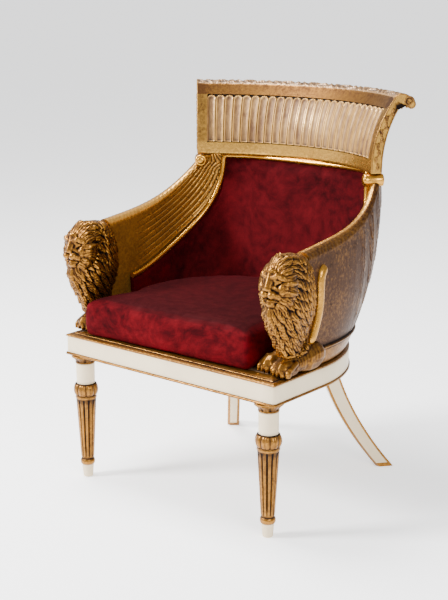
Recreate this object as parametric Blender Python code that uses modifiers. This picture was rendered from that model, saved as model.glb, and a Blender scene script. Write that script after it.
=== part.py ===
"""A gilt and ivory gondola armchair with winged lions for arms.

Metres, +Z up. The chair faces -Y. Its own measurements start at the line of the front
legs (y = 0 there) and at the floor; one empty then moves the whole chair so that the
middle of its depth is at y = 0.
"""
import math

import bmesh
import bpy
from mathutils import Matrix, Vector

# Clearance between two pieces that touch
GAP = 0.0003

# Seat rail: a D in plan, straight in front and round behind
RAIL_HALF_WIDTH = 0.315
RAIL_FRONT = -0.028
RAIL_ARC_CENTRE = 0.157
RAIL_BOTTOM = 0.3195
RAIL_HEIGHT = 0.0395
RAIL_THICKNESS = 0.046
RAIL_CORNER_CHAMFER = 0.006
ARC_STEPS = 22

# Gilt strips above and below the rail
MOULDING_HEIGHT = 0.008
MOULDING_WIDTH = 0.048
MOULDING_OUTSET = 0.001
BEAD_HEIGHT = 0.0055
BEAD_WIDTH = 0.012
BEAD_OUTSET = 0.003

# Board that the cushion lies on
BOARD_THICKNESS = 0.014

# Front legs
FRONT_LEG_X = 0.28
FRONT_LEG_SIDES = 24
FLUTE_DEPTH = 0.0030
FOOT_RADIUS = 0.0130
FOOT_HEIGHT = 0.033
RING_RADIUS = 0.0180
RING_HEIGHT = 0.014
SHAFT_BOTTOM_RADIUS = 0.0150
SHAFT_TOP_RADIUS = 0.0245
COLLAR_BOTTOM = 0.214
COLLAR_HEIGHT = 0.027
COLLAR_RADIUS = 0.0300
NECK_RADIUS = 0.0215
CAPITAL_HEIGHT = 0.020
CAPITAL_RADIUS = 0.0330

# Sabre back legs, each in an upright plane that turns out from straight back
REAR_LEG_TURN = 40.0
REAR_LEG_TOP_X = 0.140
REAR_LEG_TOP_Y = 0.402
REAR_LEG_REACH = 0.162
REAR_LEG_FLOOR_SLOPE = 0.83
REAR_LEG_TOP_WIDTH = 0.041
REAR_LEG_FOOT_WIDTH = 0.033
REAR_LEG_THICKNESS = 0.032
REAR_LEG_STEPS = 10

# Carved gilt shell: the back and the wings
SHELL_TOP = 0.757
SHELL_HALF_WIDTH = 0.3055
SHELL_BULGE = 0.013
SHELL_TOP_NARROWING = 0.009
SHELL_REAR_FOOT = 0.458
SHELL_REAR_LEAN = 0.074
SHELL_SQUARENESS_FOOT = 2.0
SHELL_SQUARENESS_GAIN = 1.8
SEAM_BEARING = 47.0
BACK_THICKNESS = 0.020
BACK_STEPS = 18
WING_STEPS = 14
TRIM_ALLOWANCE = 0.012
WING_THICKNESS = 0.038
PLINTH_HEIGHT = 0.034
PLINTH_OUTSET = 0.004
RIDGE_HEIGHT = 0.006
RIDGE_OUTSET = 0.0065

# Wings
WING_FRONT = 0.092
WING_TOP_FRONT = 0.630
WING_TOP_SLOPE = 0.11
WING_TOP_PAST_SCROLL = 0.015
FEATHER_ROWS = 5
FEATHER_DEPTH = 0.0032
SCROLL_RADIUS = 0.0135
SCROLL_LENGTH = 0.050
SCROLL_INSET = 0.013
SCROLL_BEFORE_SEAM = 3.8
SCROLL_TURN = 48.2

# Lions
LION_X = 0.295
MANE_FOOT = 0.0374
MANE_HEIGHT = 0.241
MANE_HALF_WIDTH = 0.044
MANE_HALF_DEPTH = 0.077
MANE_DEPTH = 0.050
MANE_LEAN = 0.006
MUZZLE_FRONT = -0.037
CARVING_VOXEL = 0.0030
LINING_CLEARANCE = 0.0035
LINING_LEVELS = 4
LINING_MARGIN = 0.008
ARM_TRIANGLES = 1750
PAW_OUTER = 0.005
PAW_INNER = -0.044
PAW_FRONT = 0.018
PAW_HALF_WIDTH = 0.021
PAW_HEIGHT = 0.038
LIP_RADIUS = 0.007
LIP_PATH = (
    (0.100, 0.0504),
    (0.115, 0.0854),
    (0.126, 0.1104),
    (0.132, 0.1424),
    (0.134, 0.1764),
    (0.130, 0.2074),
    (0.139, 0.2264),
    (0.158, 0.2334),
)

# Crest
CREST_RADIUS = 0.403
CREST_CENTRE = 0.097
CREST_HALF_ANGLE = 40.7
CREST_THICKNESS = 0.027
CREST_HEIGHT = 0.188
CREST_FLARE = 0.052
CREST_FLARE_POWER = 2.3
CREST_ROLL_RISE = 0.012
CREST_ROLL_REACH = 0.050
CREST_ROLL = (
    (0.016, 0.002),
    (0.034, 0.008),
    (0.048, 0.018),
    (CREST_ROLL_REACH, 0.028),
    (0.042, 0.035),
    (0.026, 0.032),
)
CREST_BACK_DROPS = (0.050, 0.085, 0.125)
FLUTE_COUNT = 25
FLUTE_PANEL_HALF_ANGLE = 36.7
FLUTE_PANEL_SINK = 0.003
FLUTE_GROOVE = 0.006
CREST_BOTTOM_BAR = 0.030
CREST_TOP_BAR = 0.026

# Velvet and its gilt bead
VELVET_THICKNESS = 0.010
VELVET_TOP_BEARING = 53.0
VELVET_SIDE_DROP = 0.268
VELVET_EDGE_POWERS = (1.4, 0.41)
EDGE_BEAD_RADIUS = 0.0045
EDGE_SIDE_STEPS = 12
EDGE_TOP_STEPS = 12
CUSHION_THICKNESS = 0.092
CUSHION_SIDE_CLEARANCE = 0.004
CUSHION_FRONT_LEFT = Vector((-0.268, -0.024))
CUSHION_FRONT_RIGHT = Vector((0.222, -0.006))
CUSHION_FRONT_HALF_WIDTH = 0.222

# Worked out from the sizes above
RAIL_TOP = RAIL_BOTTOM + RAIL_HEIGHT
SHELL_BASE = RAIL_TOP + GAP + MOULDING_HEIGHT + GAP
SEAT_LEVEL = RAIL_TOP + GAP + MOULDING_HEIGHT
LEG_TOP = RAIL_BOTTOM - GAP - BEAD_HEIGHT - GAP
CREST_BASE = SHELL_TOP + GAP
MANE_BOTTOM = SHELL_BASE + MANE_FOOT
MANE_TOP = MANE_BOTTOM + MANE_HEIGHT
CREST_REAR = CREST_CENTRE + CREST_RADIUS + CREST_FLARE + CREST_ROLL_REACH
MID_DEPTH = (MUZZLE_FRONT + CREST_REAR) / 2


def start_clean():
    for thing in list(bpy.data.objects):
        bpy.data.objects.remove(thing, do_unlink=True)
    for name in ("Lion armchair", "Cutters"):
        group = bpy.data.collections.get(name) or bpy.data.collections.new(name)
        if group.name not in bpy.context.scene.collection.children:
            bpy.context.scene.collection.children.link(group)


start_clean()
CHAIR = bpy.data.collections["Lion armchair"]
CUTTERS = bpy.data.collections["Cutters"]
ROOT = bpy.data.objects.new("chair_frame", None)
ROOT.location = (0, -MID_DEPTH, 0)
CHAIR.objects.link(ROOT)


def paint(name, colour, roughness, metallic):
    """A plain Principled material."""
    material = bpy.data.materials.new(name)
    material.use_nodes = True
    shader = material.node_tree.nodes["Principled BSDF"]
    shader.inputs["Base Color"].default_value = (*colour, 1)
    shader.inputs["Roughness"].default_value = roughness
    shader.inputs["Metallic"].default_value = metallic
    return material


def place(name, data, colour, roughness=0.4, metallic=0.0):
    """One finished sub-part, in the chair's own frame."""
    piece = bpy.data.objects.new(name, data)
    piece.parent = ROOT
    CHAIR.objects.link(piece)
    data.materials.clear()
    data.materials.append(paint(name, colour, roughness, metallic))
    return piece


GILT = (0.62, 0.40, 0.14)
IVORY = (0.88, 0.83, 0.72)
VELVET = (0.45, 0.02, 0.03)


def evaluated_mesh(thing, name):
    """The mesh of an object with its modifiers applied; the object itself is removed."""
    bpy.context.view_layer.update()
    graph = bpy.context.evaluated_depsgraph_get()
    mesh = bpy.data.meshes.new_from_object(thing.evaluated_get(graph))
    mesh.transform(thing.matrix_world)
    mesh.name = name
    bpy.data.objects.remove(thing, do_unlink=True)
    return mesh


def helper(name, data):
    """A shape that cuts or joins another and isn't a piece itself."""
    thing = bpy.data.objects.new(name, data)
    thing.hide_render = True
    thing.display_type = "WIRE"
    CUTTERS.objects.link(thing)
    return thing


def loft(name, sections):
    """A closed skin over closed sections with equal numbers of points, capped at both ends."""
    bm = bmesh.new()
    rings = [[bm.verts.new(point) for point in section] for section in sections]
    count = len(rings[0])
    for near, far in zip(rings, rings[1:]):
        for i in range(count):
            j = (i + 1) % count
            bm.faces.new((near[i], near[j], far[j], far[i]))
    bm.faces.new(rings[0][::-1])
    bm.faces.new(rings[-1])
    bmesh.ops.triangulate(bm, faces=[face for face in bm.faces if len(face.verts) > 4])
    bmesh.ops.recalc_face_normals(bm, faces=bm.faces)
    mesh = bpy.data.meshes.new(name)
    bm.to_mesh(mesh)
    bm.free()
    return mesh


def mirrored(mesh, name):
    """The same shape on the other side of the chair's middle plane."""
    bm = bmesh.new()
    bm.from_mesh(mesh)
    bmesh.ops.transform(bm, matrix=Matrix.Scale(-1, 4, (1, 0, 0)), verts=bm.verts)
    bmesh.ops.reverse_faces(bm, faces=bm.faces)
    copy = bpy.data.meshes.new(name)
    bm.to_mesh(copy)
    bm.free()
    return copy


def both_sides(kind, right_mesh, colour, roughness=0.4, metallic=0.0):
    """The right piece and its mirror image on the left."""
    left_mesh = mirrored(right_mesh, kind + "_left")
    place(kind + "_right", right_mesh, colour, roughness, metallic)
    place(kind + "_left", left_mesh, colour, roughness, metallic)


# Seat rail, its gilt strips and the seat board


def d_outline(inset):
    """The seat's D in plan, drawn inset from the rail's face, from the front left corner."""
    half = RAIL_HALF_WIDTH - inset
    front = RAIL_FRONT + inset
    cut = RAIL_CORNER_CHAMFER
    points = [Vector((-half, front + cut)), Vector((-half + cut, front))]
    points += [Vector((half - cut, front)), Vector((half, front + cut))]
    for step in range(ARC_STEPS + 1):
        angle = math.pi * step / ARC_STEPS
        points.append(Vector((half * math.cos(angle), RAIL_ARC_CENTRE + half * math.sin(angle))))
    return points


def flat_piece(name, outlines, bottom, height, colour, metallic):
    """A board or ring cut to flat outlines."""
    curve = bpy.data.curves.new(name, "CURVE")
    curve.dimensions = "2D"
    curve.fill_mode = "BOTH"
    curve.extrude = height / 2
    for outline in outlines:
        spline = curve.splines.new("POLY")
        spline.points.add(len(outline) - 1)
        for knot, point in zip(spline.points, outline):
            knot.co = (point.x, point.y, 0, 1)
        spline.use_cyclic_u = True
    piece = place(name, curve, colour, 0.4, metallic)
    piece.location.z = bottom + height / 2


def seat_frame():
    rail = [d_outline(0), d_outline(RAIL_THICKNESS)]
    flat_piece("seat_rail", rail, RAIL_BOTTOM, RAIL_HEIGHT, IVORY, 0.0)
    strip = [d_outline(-MOULDING_OUTSET), d_outline(MOULDING_WIDTH)]
    flat_piece("rail_top_moulding", strip, RAIL_TOP + GAP, MOULDING_HEIGHT, GILT, 0.8)
    bead = [d_outline(-BEAD_OUTSET), d_outline(BEAD_WIDTH)]
    flat_piece("rail_bottom_bead", bead, RAIL_BOTTOM - GAP - BEAD_HEIGHT, BEAD_HEIGHT, GILT, 0.8)
    inside = MOULDING_WIDTH + GAP
    board = [d_outline(inside)]
    flat_piece("seat_board", board, SEAT_LEVEL - BOARD_THICKNESS, BOARD_THICKNESS, (0.35, 0.25, 0.16), 0.0)


# Front legs


def leg_rows():
    """(height, radius, depth of the flutes or leaves) up the leg."""
    ring_top = FOOT_HEIGHT + RING_HEIGHT
    collar_top = COLLAR_BOTTOM + COLLAR_HEIGHT
    neck_top = LEG_TOP - CAPITAL_HEIGHT
    shaft_gain = (SHAFT_TOP_RADIUS - SHAFT_BOTTOM_RADIUS) / (COLLAR_BOTTOM - ring_top)

    def shaft(z):
        return SHAFT_BOTTOM_RADIUS + shaft_gain * (z - ring_top)

    return [
        (0.0, FOOT_RADIUS * 0.9, 0.0),
        (FOOT_HEIGHT, FOOT_RADIUS * 1.1, 0.0),
        (FOOT_HEIGHT + RING_HEIGHT * 0.15, RING_RADIUS, 0.0),
        (FOOT_HEIGHT + RING_HEIGHT * 0.8, RING_RADIUS, 0.0),
        (ring_top, SHAFT_BOTTOM_RADIUS, 0.0),
        (ring_top + 0.010, shaft(ring_top + 0.010), FLUTE_DEPTH * 0.8),
        (COLLAR_BOTTOM - 0.012, shaft(COLLAR_BOTTOM - 0.012), FLUTE_DEPTH),
        (COLLAR_BOTTOM, SHAFT_TOP_RADIUS, 0.0),
        (COLLAR_BOTTOM + COLLAR_HEIGHT * 0.25, COLLAR_RADIUS, FLUTE_DEPTH),
        (COLLAR_BOTTOM + COLLAR_HEIGHT * 0.8, COLLAR_RADIUS * 0.97, FLUTE_DEPTH * 0.7),
        (collar_top, NECK_RADIUS, 0.0),
        (neck_top, NECK_RADIUS, 0.0),
        (neck_top + CAPITAL_HEIGHT * 0.45, NECK_RADIUS * 1.12, FLUTE_DEPTH * 0.5),
        (neck_top + CAPITAL_HEIGHT * 0.85, CAPITAL_RADIUS, FLUTE_DEPTH),
        (LEG_TOP, CAPITAL_RADIUS, 0.0),
    ]


def front_legs():
    sections = []
    for z, radius, depth in leg_rows():
        section = []
        for side in range(FRONT_LEG_SIDES):
            turn = 2 * math.pi * side / FRONT_LEG_SIDES
            reach = radius - (depth if side % 2 else 0.0)
            section.append(Vector((FRONT_LEG_X + reach * math.cos(turn), reach * math.sin(turn), z)))
        sections.append(section)
    both_sides("front_leg", loft("front_leg_right", sections), IVORY)


# Sabre back legs


def rear_legs():
    curve = bpy.data.curves.new("sabre_outline", "CURVE")
    curve.dimensions = "2D"
    curve.fill_mode = "BOTH"
    curve.extrude = REAR_LEG_THICKNESS / 2
    sweep = (REAR_LEG_FLOOR_SLOPE * LEG_TOP - REAR_LEG_REACH) / LEG_TOP**2
    back_edge = []
    front_edge = []
    for step in range(REAR_LEG_STEPS + 1):
        z = LEG_TOP * step / REAR_LEG_STEPS
        reach = REAR_LEG_REACH - REAR_LEG_FLOOR_SLOPE * z + sweep * z * z
        slope = 2 * sweep * z - REAR_LEG_FLOOR_SLOPE
        width = REAR_LEG_FOOT_WIDTH + (REAR_LEG_TOP_WIDTH - REAR_LEG_FOOT_WIDTH) * z / LEG_TOP
        half = width / 2 * math.sqrt(1 + slope * slope)
        back_edge.append((reach + half, z))
        front_edge.append((reach - half, z))
    outline = back_edge + front_edge[::-1]
    spline = curve.splines.new("POLY")
    spline.points.add(len(outline) - 1)
    for knot, point in zip(spline.points, outline):
        knot.co = (point[0], point[1], 0, 1)
    spline.use_cyclic_u = True
    board = helper("sabre_board", curve)
    turn = math.radians(90 - REAR_LEG_TURN)
    board.matrix_world = (
        Matrix.Translation((REAR_LEG_TOP_X, REAR_LEG_TOP_Y, 0))
        @ Matrix.Rotation(turn, 4, "Z")
        @ Matrix.Rotation(math.pi / 2, 4, "X")
    )
    mesh = evaluated_mesh(board, "rear_leg_right")
    bm = bmesh.new()
    bm.from_mesh(mesh)
    bmesh.ops.remove_doubles(bm, verts=bm.verts, dist=0.00001)
    bm.to_mesh(mesh)
    bm.free()
    both_sides("rear_leg", mesh, IVORY)


# Shell of the back and wings


def shell_share(z):
    """How far up the shell a height is, from 0 at its foot to 1 at its top."""
    return (z - SHELL_BASE) / (SHELL_TOP - SHELL_BASE)


def shell_plan(station, z):
    """A point of the shell's outer face. Stations run from -1 at the wing's front to 0
    where the curve starts, 1 in the middle of the back and 2 at the other side."""
    share = shell_share(z)
    half = SHELL_HALF_WIDTH + SHELL_BULGE * math.sin(math.pi * share) - SHELL_TOP_NARROWING * share**3
    if station < 0:
        return Vector((half, RAIL_ARC_CENTRE + station * (RAIL_ARC_CENTRE - WING_FRONT), z))
    depth = SHELL_REAR_FOOT + SHELL_REAR_LEAN * share - RAIL_ARC_CENTRE
    power = SHELL_SQUARENESS_FOOT + SHELL_SQUARENESS_GAIN * (1 - (1 - share) ** 2)
    bearing = station * math.pi / 2
    across = abs(math.cos(bearing)) / half
    along = abs(math.sin(bearing)) / depth
    radius = (across**power + along**power) ** (-1 / power)
    return Vector((radius * math.cos(bearing), RAIL_ARC_CENTRE + radius * math.sin(bearing), z))


def shell_point(station, z, inset):
    """The shell's outer face moved in by inset, square to the face in plan."""
    step = 0.004
    ahead = shell_plan(station + step, z)
    behind = shell_plan(station - step, z)
    along = (ahead - behind).normalized()
    inward = Vector((-along.y, along.x, 0))
    return shell_plan(station, z) + inward * inset


def wing_thickness(station):
    """The wing's thickness, easing to the back's thickness at the seam and beyond."""
    seam = SEAM_BEARING / 90
    share = min(max(station / seam, 0.0), 1.0)
    ease = share * share * (3 - 2 * share)
    return WING_THICKNESS + (BACK_THICKNESS - WING_THICKNESS) * ease


def scroll_middle():
    """The middle of the wing's scroll: in the shell's thickness, just before the seam."""
    station = (SEAM_BEARING - SCROLL_BEFORE_SEAM) / 90
    return shell_point(station, SHELL_TOP - SCROLL_RADIUS - GAP, SCROLL_INSET)


def wing_top(station):
    """The height of the wing's top edge at a station. It meets the shell's top at the scroll."""
    top_run = scroll_middle().y + WING_TOP_PAST_SCROLL - WING_FRONT
    top_rise = SHELL_TOP - WING_TOP_FRONT - WING_TOP_SLOPE * top_run
    z = WING_TOP_FRONT
    for _ in range(30):
        run = shell_plan(station, z).y - WING_FRONT
        wanted = WING_TOP_FRONT + WING_TOP_SLOPE * run + top_rise * (run / top_run) ** 4
        z = (z + min(wanted, SHELL_TOP - GAP)) / 2
    return z


def velvet_top(station):
    """The height of the velvet's edge, before the bead that frames it."""
    share = min(max(min(station, 2 - station) * 90 / VELVET_TOP_BEARING, 0.0), 1.0)
    along, drop = VELVET_EDGE_POWERS
    return SHELL_TOP - VELVET_SIDE_DROP * (1 - share**along) ** drop


def lining_top(station, top):
    """Where the plain inner face under the velvet starts, below the shell's top edge."""
    return min(velvet_top(station), top - LINING_MARGIN)


def lining_levels(top):
    """Heights from there down to the seat, shared by shell and velvet."""
    return [top + (SHELL_BASE - top) * level / LINING_LEVELS for level in range(LINING_LEVELS + 1)]


def back_stations(first, last):
    return [first + (last - first) * step / BACK_STEPS for step in range(BACK_STEPS + 1)]


def wing_stations(last):
    return [last * step / WING_STEPS for step in range(WING_STEPS + 1)]


def shell_section(station, top, feathers):
    """One upright slice through the shell: outer face up, over the top and down inside."""
    thick = wing_thickness(min(station, 2 - station))
    plinth_top = SHELL_BASE + PLINTH_HEIGHT
    ridge_top = plinth_top + RIDGE_HEIGHT
    round_over = thick * 0.3 if feathers else LINING_MARGIN * 0.6
    rows = [(-PLINTH_OUTSET, SHELL_BASE), (-PLINTH_OUTSET, plinth_top - 0.003)]
    rows += [(-RIDGE_OUTSET, plinth_top), (0.0, ridge_top)]
    count = 2 * FEATHER_ROWS if feathers else 3
    shoulder = top - round_over
    for row in range(1, count + 1):
        z = ridge_top + (shoulder - ridge_top) * row / count
        groove = FEATHER_DEPTH * 0.6 if feathers and row % 2 and row < count else 0.0
        rows.append((groove, z))
    rows += [(round_over * 0.6, top - round_over * 0.25), (thick / 2, top)]
    rows += [(thick - round_over * 0.6, top - round_over * 0.25)]
    low = lining_top(station, top)
    for row in range(count + 1):
        z = shoulder + (low - shoulder) * row / count
        groove = FEATHER_DEPTH if feathers and row % 2 and row < count else 0.0
        rows.append((thick - groove, z))
    rows += [(thick, z) for z in lining_levels(low)[1:]]
    return [shell_point(station, z, inset) for inset, z in rows]


def trimmed(mesh, point, outward):
    """Cuts a closed mesh flat at a plane and drops what lies beyond it."""
    bm = bmesh.new()
    bm.from_mesh(mesh)
    parts = bm.verts[:] + bm.edges[:] + bm.faces[:]
    cut = bmesh.ops.bisect_plane(bm, geom=parts, plane_co=point, plane_no=outward, clear_outer=True)
    rim = [item for item in cut["geom_cut"] if isinstance(item, bmesh.types.BMEdge)]
    filled = bmesh.ops.holes_fill(bm, edges=rim, sides=0)
    bmesh.ops.triangulate(bm, faces=filled["faces"])
    bm.to_mesh(mesh)
    bm.free()


def seam_plane(side):
    """The upright plane where a wing meets the back: a point on it and its normal."""
    bearing = math.radians(SEAM_BEARING)
    return Vector((0, RAIL_ARC_CENTRE, 0)), Vector((-side * math.sin(bearing), math.cos(bearing), 0))


def back_shell():
    reach = math.degrees(TRIM_ALLOWANCE / RAIL_HALF_WIDTH)
    first = (SEAM_BEARING - reach) / 90
    stations = [first] + back_stations(SEAM_BEARING / 90, 2 - SEAM_BEARING / 90) + [2 - first]
    sections = [shell_section(station, SHELL_TOP, False) for station in stations]
    mesh = loft("back_shell", sections)
    for side in (1, -1):
        point, normal = seam_plane(side)
        trimmed(mesh, point + normal * GAP, -normal)
    place("back_shell", mesh, GILT, 0.4, 0.8)


def wing_mesh():
    straight = 4
    stations = [-1 + step / straight for step in range(straight)]
    reach = math.degrees(TRIM_ALLOWANCE / RAIL_HALF_WIDTH)
    stations += wing_stations((SEAM_BEARING + reach) / 90)
    sections = [shell_section(station, wing_top(station), True) for station in stations]
    return loft("wing", sections)


# Lions


class Clay:
    """Closed lumps gathered in one mesh, before they are merged into one skin."""

    def __init__(self):
        self.points = []
        self.faces = []

    def add(self, mesh, matrix):
        first = len(self.points)
        self.points += [matrix @ vertex.co for vertex in mesh.vertices]
        self.faces += [[first + corner for corner in face.vertices] for face in mesh.polygons]

    def merged(self, name, voxel, triangles):
        """One skin round all the lumps, thinned to a number of triangles."""
        mesh = bpy.data.meshes.new(name)
        mesh.from_pydata(self.points, [], self.faces)
        lumps = helper(name, mesh)
        skin = lumps.modifiers.new("Remesh", "REMESH")
        skin.mode = "VOXEL"
        skin.voxel_size = voxel
        fine = helper(name, evaluated_mesh(lumps, name))
        thin = fine.modifiers.new("Decimate", "DECIMATE")
        thin.ratio = triangles / (2 * len(fine.data.polygons))
        return evaluated_mesh(fine, name)


def unit_ball():
    bm = bmesh.new()
    bmesh.ops.create_uvsphere(bm, u_segments=12, v_segments=8, radius=1)
    mesh = bpy.data.meshes.new("unit_ball")
    bm.to_mesh(mesh)
    bm.free()
    return mesh


BALL = unit_ball()


def add_ball(clay, centre, radii, lean=0.0, tilt=0.0):
    """An egg shape: lean turns it about X, tilt about Y, in degrees."""
    matrix = Matrix.Translation(centre + Vector((LION_X, 0, 0)))
    matrix = matrix @ Matrix.Rotation(math.radians(tilt), 4, "Y")
    matrix = matrix @ Matrix.Rotation(math.radians(lean), 4, "X")
    clay.add(BALL, matrix @ Matrix.Diagonal((*radii, 1)))


def add_taper(clay, start, end, start_radius, end_radius):
    """A rounded limb between two points."""
    steps = 5
    for step in range(steps + 1):
        share = step / steps
        centre = start.lerp(end, share)
        radius = start_radius + (end_radius - start_radius) * share
        add_ball(clay, centre, (radius, radius, radius))


def mane_slice(height):
    """Centre depth, half width and half depth of the mane at a share of its height."""
    swell = math.sin(math.pi * min(max(0.10 + 0.90 * height, 0.0), 1.0)) ** 0.6
    lower = min(height / 0.45, 1.0)
    half_width = MANE_HALF_WIDTH * swell * (0.55 + 0.45 * lower)
    half_depth = MANE_HALF_DEPTH * swell * (0.42 + 0.58 * lower)
    return MANE_DEPTH - MANE_LEAN * height, half_width, half_depth


def mane_point(height, around, lift):
    """A point on the mane. around is 0 straight in front and 1 straight behind."""
    centre, half_width, half_depth = mane_slice(height)
    turn = math.pi * around
    x = (half_width + lift) * math.sin(turn)
    y = centre - (half_depth + lift) * math.cos(turn)
    return Vector((x, y, MANE_BOTTOM + MANE_HEIGHT * height))


def add_mane(clay):
    for level in range(13):
        height = 0.04 + 0.92 * level / 12
        centre, half_width, half_depth = mane_slice(height)
        z = MANE_BOTTOM + MANE_HEIGHT * height
        add_ball(clay, Vector((0, centre, z)), (half_width, half_depth, 0.020))
    for level in range(9):
        height = 0.98 - 0.10 * level
        around_count = 7
        for step in range(around_count + 1):
            around = 0.06 + 0.9 * (step + 0.5 * (level % 2)) / around_count
            if around > 0.97 or (around < 0.36 and 0.42 < height < 0.93):
                continue
            for side in (-1, 1):
                add_lock(clay, height, around, side)


def add_lock(clay, height, around, side):
    """One lock of the mane: it hangs down and drifts back."""
    steps = 4
    for step in range(steps + 1):
        share = step / steps
        drift = 0.06 * share * math.sin(math.pi * around)
        point = mane_point(height - 0.13 * share, around + drift, 0.002)
        point.x *= side
        radius = 0.0075 * (0.55 + 0.75 * math.sin(math.pi * (0.15 + 0.75 * share)))
        add_ball(clay, point, (radius, radius, radius))


def add_face(clay):
    """The lion's face: brow, eyes, muzzle, jaw and ears."""

    def at(across, ahead, drop):
        """A place by its distance in front of the leg line and below the mane's top."""
        return Vector((across, -ahead, MANE_TOP - drop))

    nose = -MUZZLE_FRONT - 0.006
    add_ball(clay, at(0, -0.014, 0.046), (0.034, 0.038, 0.034))
    add_ball(clay, at(0, nose - 0.021, 0.090), (0.022, 0.027, 0.019))
    add_taper(clay, at(0, nose - 0.004, 0.074), at(0, 0.008, 0.040), 0.009, 0.012)
    add_ball(clay, at(0, nose, 0.077), (0.010, 0.006, 0.006))
    add_ball(clay, at(0, 0.010, 0.117), (0.015, 0.019, 0.010))
    add_ball(clay, at(0, 0.008, 0.131), (0.013, 0.016, 0.014))
    for side in (-1, 1):
        add_ball(clay, at(side * 0.010, nose - 0.007, 0.093), (0.012, 0.013, 0.011))
        add_ball(clay, at(side * 0.016, 0.014, 0.052), (0.012, 0.010, 0.0065), 0, side * 15)
        add_ball(clay, at(side * 0.0155, 0.016, 0.064), (0.0062, 0.0062, 0.0052))
        add_ball(clay, at(side * 0.025, 0.000, 0.082), (0.013, 0.022, 0.022))
        add_ball(clay, at(side * 0.034, -0.020, 0.024), (0.010, 0.007, 0.014), 0, side * 20)


def add_paw(clay, offset):
    """One forepaw on the rail, with its toes and the arm behind it."""
    base = SHELL_BASE
    add_ball(clay, Vector((offset, PAW_FRONT + 0.030, base + 0.016)), (PAW_HALF_WIDTH, 0.032, 0.021))
    for toe in range(4):
        x = offset + PAW_HALF_WIDTH * (toe - 1.5) * 0.52
        curl = 0.003 if toe in (0, 3) else 0.0
        add_ball(clay, Vector((x, PAW_FRONT + 0.015 + curl, base + 0.010)), (0.0062, 0.015, 0.0125))
    add_taper(
        clay,
        Vector((offset, PAW_FRONT + 0.035, base + 0.018)),
        Vector((offset * 0.4, PAW_FRONT + 0.105, base + 0.035)),
        0.019,
        0.024,
    )


def add_lip(clay):
    """The smooth roll that rises behind the mane on the outer side of the wing."""
    reach = SHELL_HALF_WIDTH + SHELL_BULGE - LION_X - 0.001
    for near, far in zip(LIP_PATH, LIP_PATH[1:]):
        start = Vector((reach, near[0], SHELL_BASE + near[1]))
        end = Vector((reach, far[0], SHELL_BASE + far[1]))
        add_taper(clay, start, end, LIP_RADIUS, LIP_RADIUS)


def scroll_mesh():
    """The rolled end of the wing, under the crest."""
    turn = math.radians(SCROLL_TURN)
    outward = Vector((math.cos(turn), math.sin(turn), 0))
    middle = scroll_middle()
    bm = bmesh.new()
    upright = outward.to_track_quat("Z", "Y").to_matrix().to_4x4()
    bmesh.ops.create_cone(
        bm,
        cap_ends=True,
        segments=12,
        radius1=SCROLL_RADIUS,
        radius2=SCROLL_RADIUS,
        depth=SCROLL_LENGTH,
        matrix=Matrix.Translation(middle) @ upright,
    )
    mesh = bpy.data.meshes.new("scroll")
    bm.to_mesh(mesh)
    bm.free()
    return mesh


def winged_lions():
    clay = Clay()
    clay.add(wing_mesh(), Matrix.Identity(4))
    clay.add(scroll_mesh(), Matrix.Identity(4))
    add_mane(clay)
    add_face(clay)
    add_paw(clay, PAW_OUTER)
    add_paw(clay, PAW_INNER)
    add_ball(clay, Vector((0.0, 0.105, SHELL_BASE + 0.030)), (0.030, 0.055, 0.036))
    add_lip(clay)
    mesh = clay.merged("winged_lion", CARVING_VOXEL, ARM_TRIANGLES)
    trimmed(mesh, Vector((0, 0, SHELL_BASE)), Vector((0, 0, -1)))
    trimmed(mesh, Vector((0, 0, SHELL_TOP)), Vector((0, 0, 1)))
    point, normal = seam_plane(1)
    trimmed(mesh, point, normal)
    both_sides("winged_lion", mesh, GILT, 0.4, 0.8)


# Crest


def crest_point(angle, reach, z):
    """angle is measured from straight back, reach from the crest's front face at its foot."""
    radius = CREST_RADIUS + reach
    turn = math.radians(angle)
    return Vector((radius * math.sin(turn), CREST_CENTRE + radius * math.cos(turn), z))


def crest_lean(z):
    """How far back the front face has flared at a height."""
    share = (z - CREST_BASE) / (CREST_HEIGHT - CREST_ROLL_RISE)
    return CREST_FLARE * max(share, 0.0) ** CREST_FLARE_POWER


def crest_section(angle, sink):
    """One slice: front face up with the sunk flutes, over the rolled top, down the back."""
    top = CREST_BASE + CREST_HEIGHT
    front_top = top - CREST_ROLL_RISE
    panel_low = CREST_BASE + CREST_BOTTOM_BAR
    panel_high = front_top - CREST_TOP_BAR
    rows = [(0.0, CREST_BASE), (crest_lean(panel_low), panel_low)]
    for z in (panel_low + 0.005, (panel_low + panel_high) / 2, panel_high - 0.005):
        rows.append((crest_lean(z) + sink, z))
    rows += [(crest_lean(panel_high), panel_high), (crest_lean(front_top), front_top)]
    rows += [(CREST_FLARE + reach, top - drop) for reach, drop in CREST_ROLL]
    for drop in CREST_BACK_DROPS:
        rows.append((crest_lean(top - drop) + CREST_THICKNESS, top - drop))
    rows.append((CREST_THICKNESS, CREST_BASE))
    return [crest_point(angle, reach, z) for reach, z in rows]


def crest():
    sections = []
    sections.append(crest_section(-CREST_HALF_ANGLE, 0.0))
    edge = FLUTE_PANEL_HALF_ANGLE + 0.4
    sections.append(crest_section(-edge, 0.0))
    for step in range(2 * FLUTE_COUNT + 1):
        angle = FLUTE_PANEL_HALF_ANGLE * (step / FLUTE_COUNT - 1)
        sections.append(crest_section(angle, FLUTE_GROOVE if step % 2 else FLUTE_PANEL_SINK))
    sections.append(crest_section(edge, 0.0))
    sections.append(crest_section(CREST_HALF_ANGLE, 0.0))
    place("crest", loft("crest", sections), GILT, 0.45, 0.7)


# Velvet, its bead and the cushion


def lining_inset(station):
    """How far inside the shell's outer face the velvet's back lies."""
    return wing_thickness(min(station, 2 - station)) + LINING_CLEARANCE


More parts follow.
